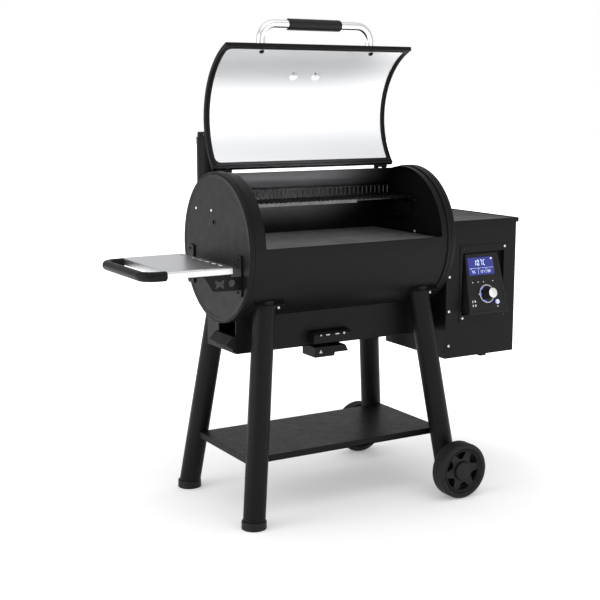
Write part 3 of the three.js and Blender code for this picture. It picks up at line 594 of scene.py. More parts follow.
# ---- barrel and end caps
MOUTH = ((58, 772), (75.5, 176))            # X, then degrees from the back, over the top
GREASE_WINDOW = ((40, 150), (252, 273))
FIRE_WINDOW = ((240, 580), (249, 291))
BARREL_ROWS = (100, 200, 300, 360, 420, 480, 540, 640, 700)
SHEET = 2
GRATE_LEDGE_Y, GRATE_LEDGE_Z = 232, (913, 918)
CAP_BAND = {"left": 25, "right": 33}
FLUE_Z, FLUE_R = 1010, 38
RACK_FENCE = 33                     # height of the warming rack's fence above its wires
PROBE_Y, PROBE_Z = 16.7, 1011.7


def on_barrel(x, angle, r):
    turn = math.radians(angle)
    return Vector((x, r * math.cos(turn), AXIS_Z + r * math.sin(turn)))


def barrel_keep(x, angle):
    """False inside the barrel's openings."""
    return not any(xs[0] < x < xs[1] and turns[0] < angle < turns[1]
                   for xs, turns in (MOUTH, GREASE_WINDOW, FIRE_WINDOW))


def barrel_shell():
    edges = {BARREL_LOW.x, BARREL_HIGH.x, *MOUTH[0], *GREASE_WINDOW[0], *FIRE_WINDOW[0]}
    shell = Body().sheet(sorted(edges | set(BARREL_ROWS)), sorted({*range(0, 361, 3), *MOUTH[1]}),
                         lambda x, a: on_barrel(x, a, BARREL_R),
                         lambda x, a: on_barrel(x, a, BARREL_R - SHEET), barrel_keep, wrap=True)
    shell = carved(shell, Body().plug(FLUE_R + 1, 0, 120, at(CHIMNEY_X, 180, FLUE_Z, AXIS_Y)))
    for side in (-1, 1):
        shell.block(20, 810, *sorted((side * GRATE_LEDGE_Y, side * (BARREL_R - 1))), *GRATE_LEDGE_Z)
    stand_for("barrel_shell", shell, 0.5)


def cap_face_profile(depth):
    """From the middle of the pressed face to the open edge of the band, as (radius, distance inward)."""
    rim = from_edge(CAP_R, 0, (24, 1.4), (20, 1.2), (16, 0.5), (13, 0.1), (9, 0.1), (7.2, 0.6), (6.2, 2.6),
                    (4.6, 2.8), (3.4, 1.4), (2, 1.0), (0.7, 1.6), (0, 3.2))
    bead = ((0, 0.52), (1.3, 0.55), (1.3, 0.6), (0, 0.63), (0, 1))
    band = from_edge(CAP_R, 0, *((inward, depth * share) for inward, share in bead))
    inside = from_edge(CAP_R, 0, (2.2, depth), (2.4, 9), (8, 5), (16, 3.2))
    return [(0, 1.4), *rim, *band, *inside, (0, 3.2)]


def rack_ledge(made, side):
    """Angle on the end cap's inside that carries the warming rack."""
    low, high = span("warming_rack")
    wall, reach = (1.5, 26) if side == "left" else (BARREL_LENGTH - 1.5, BARREL_LENGTH - 26)
    floor = high.z - RACK_FENCE - 4
    x0, x1 = sorted((wall, reach))
    made.block(x0, x1, low.y - 6, high.y + 6, floor - 3, floor - 0.4)
    a, b = sorted((wall, wall + math.copysign(2.5, reach - wall)))
    made.block(a, b, low.y - 6, high.y + 6, floor - 18, floor - 1)


def end_cap(side):
    place = at(0, 0, AXIS_Z, AXIS_X)
    if side == "right":
        place = at(BARREL_LENGTH, 0, AXIS_Z, AXIS_X @ Matrix.Rotation(math.pi, 4, "X"))
    cap = Body().lathe(cap_face_profile(CAP_BAND[side]), place, 144)
    if side == "left":
        holes = ((PROBE_Y, PROBE_Z, 9.5), (44.6, 988.7, 1.8), (-6.6, 988.4, 1.8))
        cap = carved(cap, *(Body().plug(r, -5, 8, at(0, y, z, AXIS_X), 32) for y, z, r in holes))
    rack_ledge(cap, side)
    if side == "right":
        cap.block(BARREL_LENGTH - 0.5, HOPPER_LOW.x - 0.4, -110, 110, 700, 880)
    stand_for(side + "_end_cap", cap, smooth=28)


def probe_guard():
    """Stepped sheet boxes over the probe, with the hook and the small plate in front of them."""
    wall = BARREL_LENGTH - 3.4
    made = Body()
    made.block(wall - 13, wall, 8, 106, 996, 1046)
    for z0, z1 in ((989, 1004), (1007, 1023)):
        made.block(wall - 23, wall, 58, 158, z0, z1)
    made.block(wall - 20, wall, 84, 104, 1007, 1027)
    made.block(wall - 3, wall, -40, 2, 990, 1040)
    made.bar(bent([(wall, -14, 1056), (wall - 16, -14, 1056), (wall - 16, -40, 1056), (wall - 16, -40, 1048)],
                  4), 3.4, 12)
    extra("probe_guard", "root", "black_coat", made, 0.8)


def barrel():
    barrel_shell()
    for side in ("left", "right"):
        end_cap(side)
    probe_guard()
    place = at(0, PROBE_Y, PROBE_Z, AXIS_X)
    grommet = Body().lathe([(7.5, 0.2), (11, 0.2), (11.6, 0.8), (11.6, 1.5), (9.3, 1.5), (9.3, 6), (7.5, 6)],
                           place, 40, around=True)
    grommet.plug(7.6, 5, 6, place, 40)
    extra("probe_grommet", "root", "rubber", grommet)


# ---- chimney
CHIMNEY_LOW, CHIMNEY_HIGH = span("chimney_pipe")
CHIMNEY_X, CHIMNEY_Y = (CHIMNEY_LOW.x + CHIMNEY_HIGH.x) / 2, 314
CHIMNEY_R = 46


def chimney():
    x, y, r = CHIMNEY_X, CHIMNEY_Y, CHIMNEY_R
    low, high = CHIMNEY_LOW.z, CHIMNEY_HIGH.z
    profile = [(0, low), *from_edge(r, low, (3, 0), (0, 3)), *from_edge(r, high, (0, -1), (0.4, 0), (1.8, 0)),
               (r - 1.8, low + 4), (0, low + 4)]
    pipe = Body().lathe(profile, at(x, y, 0), 64)
    flue = at(x, 0, FLUE_Z, AXIS_Y)
    pipe.lathe([(FLUE_R, 252), (FLUE_R, y)], flue, 48)
    angles = [8 + i * 23 / 10 for i in range(11)]
    pipe.sheet([x - 52 + i * 8 for i in range(14)], angles, lambda u, a: on_barrel(u, a, BARREL_R + 3),
               lambda u, a: on_barrel(u, a, BARREL_R + 0.4))
    pipe.lathe([(FLUE_R, 255), (FLUE_R + 4, 256), (FLUE_R + 4, 262), (FLUE_R, 264)], flue, 48)
    stand_for("chimney_pipe", pipe, 0.4)
    chimney_cap(x, y, r, high)


def chimney_cap(x, y, r, low):
    top = span("chimney_cap")[1].z
    levels = [low + 3.4, low + 8, top - 7, top - 3]
    turns = [i * 5 for i in range(73)]

    def wall(reach):
        def spot(z, turn):
            a = math.radians(turn)
            pull = reach - 1.2 * (z - low) / (top - low)
            return Vector((x + pull * math.cos(a), y + pull * math.sin(a), z))
        return spot

    cap = Body().sheet(levels, turns, wall(r - 3), wall(r - 4.6),
                       lambda z, turn: not (levels[1] < z < levels[2] and int(turn // 5) % 3 == 0), wrap=True)
    place = at(x, y, 0)
    cap.lathe([(0, top), *from_edge(r, top, (6, 0), (4.4, -1.2), (4.2, -3.2)), (0, top - 3.2)], place, 64)
    cap.lathe(from_edge(r, low, (6, -18), (3, -18), (3, 0.2), (-1.4, 0.4), (-1.4, 3), (2.8, 3.6), (6, 3.4)),
              place, 64, around=True)
    stand_for("chimney_cap", cap, 0.3)


# ---- lid
LID_Y, LID_Z = -109.7, 1357.7
LID_OUTER, LID_INNER = 273.5, 261
LID_ANGLES = (-40.2, 70)
LID_X = (span("lid_shell")[0].x, span("lid_shell")[1].x)
FRAME_SIDE, FRAME_END = 19, 25
LINER_R = LID_INNER + SHEET
LINER_WALL = 1.2


def on_lid(x, arc, r):
    """Point on the lid, with the arc in millimetres along its inside."""
    turn = arc / LID_INNER
    return Vector((x, LID_Y + r * math.cos(turn), LID_Z + r * math.sin(turn)))


def lid_normal(arc):
    turn = arc / LID_INNER
    return Vector((0, -math.cos(turn), -math.sin(turn)))


LID_ARC = tuple(math.radians(angle) * LID_INNER for angle in LID_ANGLES)


def spaced(low, high, step):
    count = max(1, round((high - low) / step))
    return [low + (high - low) * i / count for i in range(count + 1)]


def lid_shell():
    (x0, x1), (s0, s1) = LID_X, LID_ARC
    shell = Body().sheet(spaced(x0 + 0.5, x1 - 0.5, 60), spaced(s0 + 0.5, s1 - 0.5, 9),
                         lambda x, s: on_lid(x, s, LID_OUTER), lambda x, s: on_lid(x, s, LID_OUTER - 1.6))
    section = [(0, LID_OUTER - 0.8), (0, 262), (0.03, 260.2), (0.1, 259.4), (0.3, 259.4), (0.34, 260.4),
               (0.35, 265), (0.47, 265), (0.48, 260.6), (0.53, 259.8), (0.82, 259.8), (0.92, 260.6), (1, 262),
               (1, 262.8), (0.12, 262.8), (0.12, LID_OUTER - 0.8)]
    loops = []
    for share, r in section:
        near, far = 3 + 17 * share, 3 + 5 * share
        side, end = FRAME_SIDE * share, FRAME_END * share
        outline = rounded(x0 + side, x1 - side, s0 + end, s1 - end, [far, near, near, far], (24, 48))
        loops.append([on_lid(x, s, r) for x, s in outline])
    shell.rings(loops, around=True)
    stand_for("lid_shell", shell, smooth=40)


DIMPLES = (370, 462)
DIMPLE_ARC = math.radians(35) * LID_INNER
DIMPLE_R, DIMPLE_DEPTH = 16, 5


def lid_liner():
    (x0, x1), (s0, s1) = LID_X, LID_ARC

    def deep(x, s):
        away = min(math.hypot(x - centre, s - DIMPLE_ARC) for centre in DIMPLES) / DIMPLE_R
        return DIMPLE_DEPTH * (1 - away ** 2) ** 0.5 if away < 1 else 0.0

    xs = set(spaced(x0 + 8, x1 - 8, 46))
    for centre in DIMPLES:
        xs |= set(spaced(centre - 18, centre + 18, 1.5))
    arcs = set(spaced(s0 + 10, s1 - 10, 9)) | set(spaced(DIMPLE_ARC - 18, DIMPLE_ARC + 18, 1.5))
    liner = Body().sheet(sorted(xs), sorted(arcs), lambda x, s: on_lid(x, s, LINER_R + deep(x, s)),
                         lambda x, s: on_lid(x, s, LINER_R + LINER_WALL + deep(x, s)))
    stand_for("lid_liner", liner, smooth=60, material=LINER_STEEL)


BOLT_ANGLE, BOLT_XS = 61, (192, 640)
RIVET_ANGLES, RIVET_INSET = (31.5, -1, -33), 31


def lid_fasteners():
    dark, bright = Body(), Body()

    def fasten(made, x, angle, r, height=None):
        arc = math.radians(angle) * LID_INNER
        made.screw(on_lid(x, arc, LINER_R), lid_normal(arc), r, height)

    for x in BOLT_XS:
        fasten(dark, x, BOLT_ANGLE, 9)
    for centre in DIMPLES:
        dark.screw(on_lid(centre - 4, DIMPLE_ARC + 9, LINER_R + 3.4), lid_normal(DIMPLE_ARC), 3)
    for x in (LID_X[0] + RIVET_INSET, LID_X[1] - RIVET_INSET):
        for angle in RIVET_ANGLES:
            fasten(bright, x, angle, 2.8, 1.4)
    extra("liner_bolts", "lid", "black_coat", dark)
    extra("liner_rivets", "lid", "polished", bright)


HANDLE_LOW, HANDLE_HIGH = span("lid_handle_tube")
HANDLE_R = (HANDLE_HIGH.y - HANDLE_LOW.y) / 2
TUBE_R = HANDLE_R + 1.6             # a little thicker than in CAD
HANDLE_Y = (HANDLE_HIGH.y + HANDLE_LOW.y) / 2
HANDLE_Z = HANDLE_HIGH.z - HANDLE_R


def lid_height(y):
    return LID_Z + math.sqrt(LID_OUTER ** 2 - (y - LID_Y) ** 2)


def lid_handle():
    left, right = HANDLE_LOW.x + HANDLE_R, HANDLE_HIGH.x - HANDLE_R
    start = lid_height(HANDLE_Y - TUBE_R) + 3
    ends = ((left, start), (left, HANDLE_Z), (right, HANDLE_Z), (right, start))
    rings = bar_rings(bent([(x, HANDLE_Y, z) for x, z in ends], 54, 16), TUBE_R, 40)
    feet = [[Vector((p.x, p.y, lid_height(p.y) + 0.1)) for p in ring] for ring in (rings[0], rings[-1])]
    tube = Body().rings([feet[0], *rings, feet[1]])
    stand_for("lid_handle_tube", tube, smooth=50)
    low, high = span("lid_handle_grip")
    r = (high.z - low.z) / 2
    inner = TUBE_R + 0.3
    profile = [(inner, low.x + 3), (inner + 2, low.x + 0.6), *from_edge(r, low.x, (1.6, 0), (0, 1.4)),
               *from_edge(r, high.x, (0, -7), (0.8, -3), (3, 0)), (inner, high.x)]
    grip = Body().lathe(profile, at(0, HANDLE_Y, (low.z + high.z) / 2, AXIS_X), 64, around=True)
    stand_for("lid_handle_grip", grip, smooth=40)


def lid():
    lid_shell()
    lid_liner()
    lid_fasteners()
    lid_handle()


# ---- legs, feet, saddles and lower shelf
LEG_R = 38.5
LEG_FOOT = Vector((3, 257, 0))
LEG_TOP = Vector((97, 165.4, 745))
SADDLE_OUT = BARREL_R + 3.5
BOLT_TURN = math.radians(48)
BOLT_X = {True: (68, 146), False: (705, 780)}       # left legs, right legs


class Leg:
    def __init__(self, name, left, back):
        self.name, self.left, self.back = name, left, back

    def place(self, z):
        spot = LEG_FOOT.lerp(LEG_TOP, z / LEG_TOP.z)
        return Vector((spot.x if self.left else BARREL_LENGTH - spot.x, spot.y if self.back else -spot.y, z))

    def ring(self, r, z, sides=56):
        """Level cut through the sloped tube."""
        base = self.place(0)
        along = (self.place(100) - base).normalized()
        side = along.cross(Vector((0, 1, 0))).normalized()
        up = along.cross(side)
        points = []
        for u, v in circle(r, sides):
            rim = base + side * u + up * v
            points.append(rim + along * ((z - rim.z) / along.z))
        return points

    def rod(self, r, z0, z1):
        return Body().rings([self.ring(r, z0), self.ring(r, z1)])


LEGS = [Leg(row + "_" + side, side == "left", row == "back")
        for side in ("left", "right") for row in ("front", "back")]


def leg_tube(leg):
    low, high = span("leg_" + leg.name)[0].z, 770
    inner = LEG_R - SHEET
    rings = [leg.ring(r, z) for r, z in ((LEG_R, low), (LEG_R, high), (inner, high), (inner, low))]
    tube = Body().rings(rings, around=True)
    barrel_space = Body().plug(SADDLE_OUT + 0.3, -100, BARREL_LENGTH + 100, at(0, 0, AXIS_Z, AXIS_X), 120)
    stand_for("leg_" + leg.name, carved(tube, barrel_space), smooth=30)


def foot_cap(leg):
    low, high = span("foot_" + leg.name)
    r, top = (high.x - low.x) / 2, high.z
    middle = leg.place(top / 2)
    profile = [(0, 0), *from_edge(r, 0, (2.5, 0), (0.8, 1), (0.2, 3), (0.2, 5), (0.8, 6)),
               *from_edge(r, top, (0.6, -5), (1.2, -1.6), (2.6, 0)), (0, top)]
    cup = Body().lathe(profile, at(middle.x, middle.y, 0), 64)
    stand_for("foot_" + leg.name, carved(cup, leg.rod(LEG_R + 0.4, 4, 60)), smooth=40)


def legs():
    bolts = Body()
    for leg in LEGS:
        leg_tube(leg)
        refined("saddle_" + leg.name, 0.7)
        if leg.left:
            foot_cap(leg)
        out = Vector((0, math.cos(BOLT_TURN) * (1 if leg.back else -1), -math.sin(BOLT_TURN)))
        for x in BOLT_X[leg.left]:
            bolts.screw(Vector((x, 0, AXIS_Z)) + out * SADDLE_OUT, out, 6, 7)
    extra("saddle_bolts", "root", "polished", bolts, material=SCREW_ZINC)


# ---- wheels
WHEEL_LOW, WHEEL_HIGH = span("tyre_back")
WHEEL_R = (WHEEL_HIGH.z - WHEEL_LOW.z) / 2
WHEEL_X, WHEEL_Z = (WHEEL_LOW.x + WHEEL_HIGH.x) / 2, (WHEEL_LOW.z + WHEEL_HIGH.z) / 2
RIM_R, HUB_R = 80, 34
WINDOWS, FIRST_WINDOW = 6, 37
# One window's corners, as radius and turn in radians.
WINDOW = ((45, -0.12), (68, -0.35), (69.4, -0.2), (70, 0), (69.4, 0.2), (68, 0.35), (45, 0.12))


def wheel_place(side):
    """Own Z runs out of the grill, from the grill's middle plane."""
    if side == "back":
        return at(WHEEL_X, 0, WHEEL_Z, AXIS_Y)
    return at(WHEEL_X, 0, WHEEL_Z, AXIS_Y @ Matrix.Rotation(math.pi, 4, "Y"))


def wheel_sides(side):
    """Distances of the wheel's inner and outer sides from the grill's middle plane."""
    low, high = span("tyre_" + side)
    return min(abs(low.y), abs(high.y)), max(abs(low.y), abs(high.y))


def wheel_disc(side):
    inner, out = wheel_sides(side)
    web = out - 13
    hub = [(0, out - 3), *from_edge(HUB_R, out, (6, -3), (2.6, -3.8), (0.8, -6), (0, -9)),
           *from_edge(HUB_R, web, (0, -1), (-1.6, -1), (-2.4, 0))]
    rim = [*from_edge(RIM_R, web, (12, 0), (10, 0.6), (8.4, 3)),
           *from_edge(RIM_R, out, (7, -6.5), (4.6, -5), (2.4, -5.4), (0.8, -7), (0.4, -9)),
           *from_edge(RIM_R, inner, (0.4, 8), (6, 6))]
    back = [(RIM_R - 8, web - 14), (HUB_R - 4, web - 15), (HUB_R - 8, inner + 6), (HUB_R - 8, inner + 0.6),
            (7, inner + 0.6), (7, out - 8), (0, out - 8)]
    place = wheel_place(side)
    disc = Body().lathe(hub + rim + back, place, 96)
    cutters = []
    for i in range(WINDOWS):
        turn = math.radians(FIRST_WINDOW + 360 / WINDOWS * i)
        outline = [(WHEEL_X + r * math.cos(turn + a), WHEEL_Z + r * math.sin(turn + a)) for r, a in WINDOW]
        cutters.append(Body().prism(outline, -500, 500, "y"))
    wheel = carved(disc, *cutters)
    plate = corners_of(HUB_R - 8, RIM_R - 8, web - 25.5, web - 24)
    wheel.lathe(plate[::-1], place, 64, around=True)
    stand_for("wheel_" + side, wheel, 0.5, smooth=38)


def wheel_tyre(side):
    r = WHEEL_R
    low, high = wheel_sides(side)
    profile = [*from_edge(RIM_R, low, (0, 6), (-4, 1.5), (-10, 0)),
               *from_edge(r, low, (8, 1.2), (4, 3.6), (1.4, 7), (0, 12))]
    for groove in (0.36, 0.5, 0.64):
        y = low + (high - low) * groove
        profile += [(r, y - 1.6), (r - 1, y - 1.0), (r - 1, y + 1.0), (r, y + 1.6)]
    profile += [*from_edge(r, high, (0, -11), (1, -7), (3.2, -3.6), (5, -2.6), (6, -2.4)),
                *from_edge(r, high, (8.5, -0.8), (12, 0), (16, -1)),
                *from_edge(RIM_R, high, (-3, -4), (0, -7))]
    tyre = Body().lathe(profile, wheel_place(side), 120, around=True)
    stand_for("tyre_" + side, tyre, smooth=30)


def wheels():
    for side in ("front", "back"):
        wheel_disc(side)
        wheel_tyre(side)


# ---- grates and rack
def cooking_grate(node):
    """Cast plate of diagonal ridges in a frame."""
    low, high = span(node)
    edge, pitch = 5, 12.5
    plate = Body()
    for y0, y1 in ((low.y, low.y + edge), (high.y - edge, high.y)):
        plate.block(low.x, high.x, y0, y1, low.z + 2, high.z - 5)
    for x0, x1 in ((low.x, low.x + edge), (high.x - edge, high.x)):
        plate.block(x0, x1, low.y + edge, high.y - edge, low.z + 2, high.z - 5)
    for share in (1 / 3, 2 / 3):
        x = low.x + (high.x - low.x) * share
        plate.block(x - 4, x + 4, low.y + edge, high.y - edge, low.z, low.z + 8)
    x0, x1, y0, y1 = low.x + 1, high.x - 1, low.y + 1, high.y - 1
    section = [(-2.2, -9), (2.2, -9), (2.0, -1.6), (1.2, -0.3), (0, 0), (-1.2, -0.3), (-2.0, -1.6)]
    start = x0 - (y1 - y0) + pitch
    while start < x1 - pitch / 2:
        near = max(0.0, x0 - start)
        far = min(y1 - y0, x1 - start)
        ends = [Vector((start + run, y0 + run, high.z)) for run in (near, far)]
        across = Vector((1, -1, 0)).normalized()
        plate.rings([[end + across * u + Vector((0, 0, v)) for u, v in section] for end in ends])
        start += pitch
    stand_for(node, plate, smooth=40)


def warming_rack():
    low, high = span("warming_rack")
    wire, pitch = 2.1, 19.5
    floor = high.z - RACK_FENCE - wire
    x0, x1 = low.x + wire, high.x - wire
    rack = Body()
    for y in (low.y + wire, low.y + 60, high.y - 60, high.y - wire):
        rack.bar([(x0, y, floor - 2 * wire), (x1, y, floor - 2 * wire)], wire, 12)
    rack.bar([(x0, high.y - 2 * wire, high.z - wire), (x1, high.y - 2 * wire, high.z - wire)], wire, 12)
    count = round((x1 - x0) / pitch)
    for i in range(count + 1):
        x = x0 + (x1 - x0) * i / count
        thick = 3.4 if i in (0, count) else wire
        path = bent([(x, low.y, floor), (x, high.y - wire, floor), (x, high.y - wire, high.z - wire)], 7, 5)
        rack.bar(path, thick if i else wire, 10)
    strip_end = 569
    rack.block(x0 + 20, strip_end, low.y - 0.5, low.y + 1.2, floor - 12, floor - 1)
    stand_for("warming_rack", rack, smooth=50, material=RACK_STEEL)


def cooking_parts():
    cooking_grate("main_grate_left")
    cooking_grate("main_grate_right")
    warming_rack()


# ---- hopper and its control panel
HOPPER_LOW = span("hopper_body")[0]


def hopper_lid():
    low, high = span("hopper_lid")

    def loop(inset, z):
        outline = rounded(low.x + inset, high.x - inset, low.y + inset, high.y - inset, max(7 - inset, 1.5))
        return [(x, y, z) for x, y in outline]

    top = high.z
    section = [(10, top - 4.4), (2, top - 4.4), (2, low.z), (0, low.z), (0, top - 4), (0.7, top - 1.4),
               (2.4, top - 0.2), (4, top), (8, top), (9.4, top - 0.8), (10.6, top - 2.4), (12, top - 2.6)]
    lid_body = Body().rings([loop(inset, z) for inset, z in section])
    stand_for("hopper_lid", lid_body, smooth=35)


def hopper_screws():
    """Screws of the hopper's front, the control plate, the left end cap and the right inner wall."""
    bright, dark = Body(), Body()
    low, high = span("control_plate")
    front, left = (0, -1, 0), (-1, 0, 0)
    for across, z in ((14, 783), (14, 654), (15, 524.5)):
        bright.screw((HOPPER_LOW.x + across, HOPPER_LOW.y, z), front, 5.4)
    for x, z in ((high.x - 16, high.z - 12), (low.x + 15, low.z + 14)):
        bright.screw((x, low.y, z), front, 5)
    for x, z in ((low.x + 16, high.z - 12), (high.x - 16, low.z + 13)):
        dark.screw((x, low.y, z), front, 5)
    for x, y, z in ((1.4, 155.6, 1049.5), (1.4, 35, 1050.6), (BARREL_LENGTH - 3.2, -12, 936)):
        bright.screw((x, y, z), left, 5)
    extra("dark_plate_screws", "root", "dark_steel", dark)
    extra("bright_screws", "root", "polished", bright, material=SCREW_ZINC)


PANEL_OUT = Vector(next(j for j in frame["joints"] if j["name"] == "knob_turn")["axis"]).normalized()
PANEL_LOW, PANEL_HIGH = span("control_housing")
PANEL_X = (PANEL_LOW.x + PANEL_HIGH.x) / 2
PANEL_TOP_HALF, PANEL_LOW_HALF = 77, (PANEL_HIGH.x - PANEL_LOW.x) / 2


def panel_tools():
    down = Vector((0, -PANEL_OUT.z, PANEL_OUT.y))
    length = (PANEL_HIGH.z - PANEL_LOW.z) / -down.z
    top = Vector((PANEL_X, PANEL_LOW.y, PANEL_LOW.z)) - down * length

    def place(across, along, out):
        return top + Vector((across, 0, 0)) + down * along + PANEL_OUT * out

    return place, length


on_panel, PANEL_LENGTH = panel_tools()


def panel_half(along, inset):
    """Half of the tapered face's width at a distance from its top edge."""
    return PANEL_TOP_HALF + (PANEL_LOW_HALF - PANEL_TOP_HALF) * along / PANEL_LENGTH - inset


def panel_outline(inset, radius, corner=5):
    top, low = inset, PANEL_LENGTH - inset
    wide, narrow = panel_half(low, inset), panel_half(top, inset)
    corners = [(wide, low), (-wide, low), (-narrow, top), (narrow, top)]
    points = []
    for k, corner_point in enumerate(corners):
        here = Vector(corner_point)
        before, after = Vector(corners[k - 1]), Vector(corners[(k + 1) % 4])
        toward, away = (before - here).normalized(), (after - here).normalized()
        half = toward.angle(away) / 2
        start, end = here + toward * (radius / math.tan(half)), here + away * (radius / math.tan(half))
        centre = here + (toward + away).normalized() * (radius / math.sin(half))
        for i in range(corner + 1):
            arm = (start - centre).lerp(end - centre, i / corner).normalized() * radius
            points.append(centre + arm)
    return points


def panel_face():
    """Housing whose raised surround frames a recess for the face."""
    section = ((0, -1, 4), (0, -1.2, 4), (0.5, -0.3, 4), (1.6, 0, 4), (8.5, 0, 5), (9.8, -0.4, 5),
               (10.6, -1.6, 6))     # inset, height above the face, corner radius
    loops = [[on_panel(p.x, p.y, out) for p in panel_outline(inset, radius)]
             for inset, out, radius in section]
    for point in loops[0]:
        point.y = PANEL_HIGH.y
    return Body().rings(loops)


def panel_mark(made, points, out=-1.5, thick=0.35):
    made.rings([[on_panel(u, v, level) for u, v in points] for level in (out, out + thick)])


SEGMENTS = {"0": "abcdef", "1": "bc", "5": "acdfg", "7": "abc", "8": "abcdefg", "9": "abcdfg", "C": "adef"}


def digit(made, char, u, v, width, height, thick, out):
    """Seven-segment figure with its top left corner at (u, v)."""
    half = height / 2
    flat = {"a": (0, 0), "g": (0, half), "d": (0, height)}
    upright = {"f": (0, 0), "b": (width, 0), "e": (0, half), "c": (width, half)}
    t, gap = thick / 2, thick * 0.35

    def bar(length, half_thick):
        far = length - gap
        return [(gap, 0), (gap + t, -half_thick), (far - t, -half_thick), (far, 0), (far - t, half_thick),
                (gap + t, half_thick)]

    for name in SEGMENTS[char]:
        x, y = flat.get(name) or upright[name]
        outline = bar(width, t) if name in flat else [(b, a) for a, b in bar(half, -t)]
        panel_mark(made, [(u + x + a, v + y + b) for a, b in outline], out)


def ring_sector(made, across, along, r0, r1, start, stop, out, steps=40):
    turns = [math.radians(start + (stop - start) * i / steps) for i in range(steps + 1)]
    outline = [(across + r1 * math.cos(a), along + r1 * math.sin(a)) for a in turns]
    outline += [(across + r0 * math.cos(a), along + r0 * math.sin(a)) for a in reversed(turns)]
    panel_mark(made, outline, out)


SCREEN_BOX = (-68, 50, 16, 82)
KNOB_ACROSS, KNOB_ALONG = 6, 154
POWER_ACROSS, POWER_ALONG = 45, 187


def display():
    u0, u1, v0, v1 = SCREEN_BOX
    screen = Body()
    panel_mark(screen, rounded(u0, u1, v0, v1, 2), -1.7, 0.5)
    stand_for("control_screen", screen)
    figures = Body()
    lit = -1.15
    for i, char in enumerate("107C"):
        digit(figures, char, u0 + 28 + i * 14.5, v0 + 10, 7.5, 20, 2.3, lit)
    panel_mark(figures, rounded(u1 - 12, u1 - 5, v0 + 4, v0 + 10, 2.5), lit)
    panel_mark(figures, corners_of(u0 + 4, u1 - 4, v0 + 39.8, v0 + 40.4), lit)
    for k, chars in enumerate(("95", "107", "88")):
        left = u0 + 8 + k * 36
        for i, char in enumerate(chars):
            digit(figures, char, left + 7 + i * 8, v0 + 49, 4.4, 9, 0.9, lit)
        panel_mark(figures, rounded(left + 2, left + 5, v0 + 42.5, v0 + 44, 0.6), lit)
        if k:
            panel_mark(figures, corners_of(left - 1.2, left - 0.7, v0 + 42, v0 + 62), lit)
    extra("display_figures", "root", "lcd", figures, material=PALE_GLOW)


def panel_prints():
    prints, blue = Body(), Body()
    for across in (-58, -32.5, -7.5, 37):
        panel_mark(prints, rounded(across - 2.4, across + 2.4, 106, 110, 1.6))
    ring_across = KNOB_ACROSS - 4
    ring_sector(prints, ring_across, KNOB_ALONG, 31, 34.5, 20, 320, -1.5)
    for start in (100, 165, 215):
        ring_sector(blue, ring_across, KNOB_ALONG, 27, 29.5, start, start + 30, -1.5, 10)
    panel_mark(prints, [(ring_across - 41, KNOB_ALONG), (ring_across - 35, KNOB_ALONG - 2.6),
                        (ring_across - 35, KNOB_ALONG + 2.6)])
    for column, row in ((0, 0), (1, 0), (0, 1), (1, 1)):
        left, top = -72 + column * 11, 175 + row * 15
        panel_mark(prints, rounded(left, left + 5 + column, top, top + 8, 1.6))
    ring_sector(blue, POWER_ACROSS, POWER_ALONG, 8.7, 10, 0, 359.9, -1.5)
    panel_mark(prints, rounded(POWER_ACROSS - 3, POWER_ACROSS + 3, POWER_ALONG + 15, POWER_ALONG + 20, 1.5))
    extra("panel_prints", "root", "white_plastic", prints, material=PALE_PRINT)
    extra("panel_lights", "root", "lcd", blue, material=BLUE_GLOW)


def control_knob():
    r, top_r, height = 24, 18.5, 31
    place = facing(on_panel(KNOB_ACROSS, KNOB_ALONG, 0), PANEL_OUT)
    profile = [(0, 0.4), *from_edge(r, 0, (0.6, 0.4), (0, 1.2), (0, 3.4), (1.4, 4.4), (2, 6)),
               *from_edge(top_r, height, (-0.8, -3.4), (0, -2)), (0, height - 2)]
    knob = Body().lathe(profile, place, 72)
    stand_for("control_knob", knob, smooth=32)
    profile = [(0, height - 2.2), *from_edge(top_r, height, (0, -2.2), (0, -1.2), (0.8, -0.3), (2, 0)),
               (0, height)]
    cap = Body().lathe(profile, place, 72)
    extra("knob_cap", "knob", "polished", cap, smooth=30, material=KNOB_CAP)
    button = Body().lathe([(0, -2.4), (8.4, -2.4), (8.4, 1.6), (7.8, 2.3), (6.8, 2.5), (5.4, 2.0), (0, 1.8)],
                          facing(on_panel(POWER_ACROSS, POWER_ALONG, 0), PANEL_OUT), 48)
    stand_for("power_button", button, smooth=35)


def pale_marks():
    """Plain dashes and discs on the clean-out cover, and a triangle on the scoop."""
    low, high = span("cleanout_cover")
    y = low.y - 0.3
    cover = Body()
    z = high.z - 14
    for x in (low.x + 57, low.x + 96):
        cover.prism(rounded(x - 8, x + 8, z - 2, z + 2, 1.9), y, low.y + 0.1, "y")
    for x, r in ((low.x + 29, 3), (low.x + 124, 4)):
        cover.rings([[(x + u, level, z + v) for u, v in circle(r, 24)] for level in (y, low.y + 0.1)])
    extra("cover_marks", "root", "white_plastic", cover, material=PALE_PRINT)
    low, high = span("ash_scoop")
    scoop = Body()
    x, z = low.x + 24, high.z - 16
    scoop.prism([(x - 6, z - 6), (x + 6, z - 6), (x, z + 6)], low.y - 0.3, low.y + 0.1, "y")
    extra("scoop_mark", "scoop", "white_plastic", scoop, material=PALE_PRINT)


def control_panel():
    stand_for("control_housing", panel_face(), smooth=30)
    face = Body()
    panel_mark(face, [(p.x, p.y) for p in panel_outline(11.2, 6)], -2.2, 0.55)
    extra("panel_face", "root", "black_plastic", face, material=PANEL_FILM)
    display()
    panel_prints()
    control_knob()


def hopper():
    refined("hopper_body", 1.2)
    hopper_lid()
    hopper_screws()
    refined("control_plate", 0.8)
    control_panel()
    pale_marks()


# ---- side shelf
SIDE_LOW, SIDE_HIGH = span("side_shelf")
SLOT_X = (-56, -49)


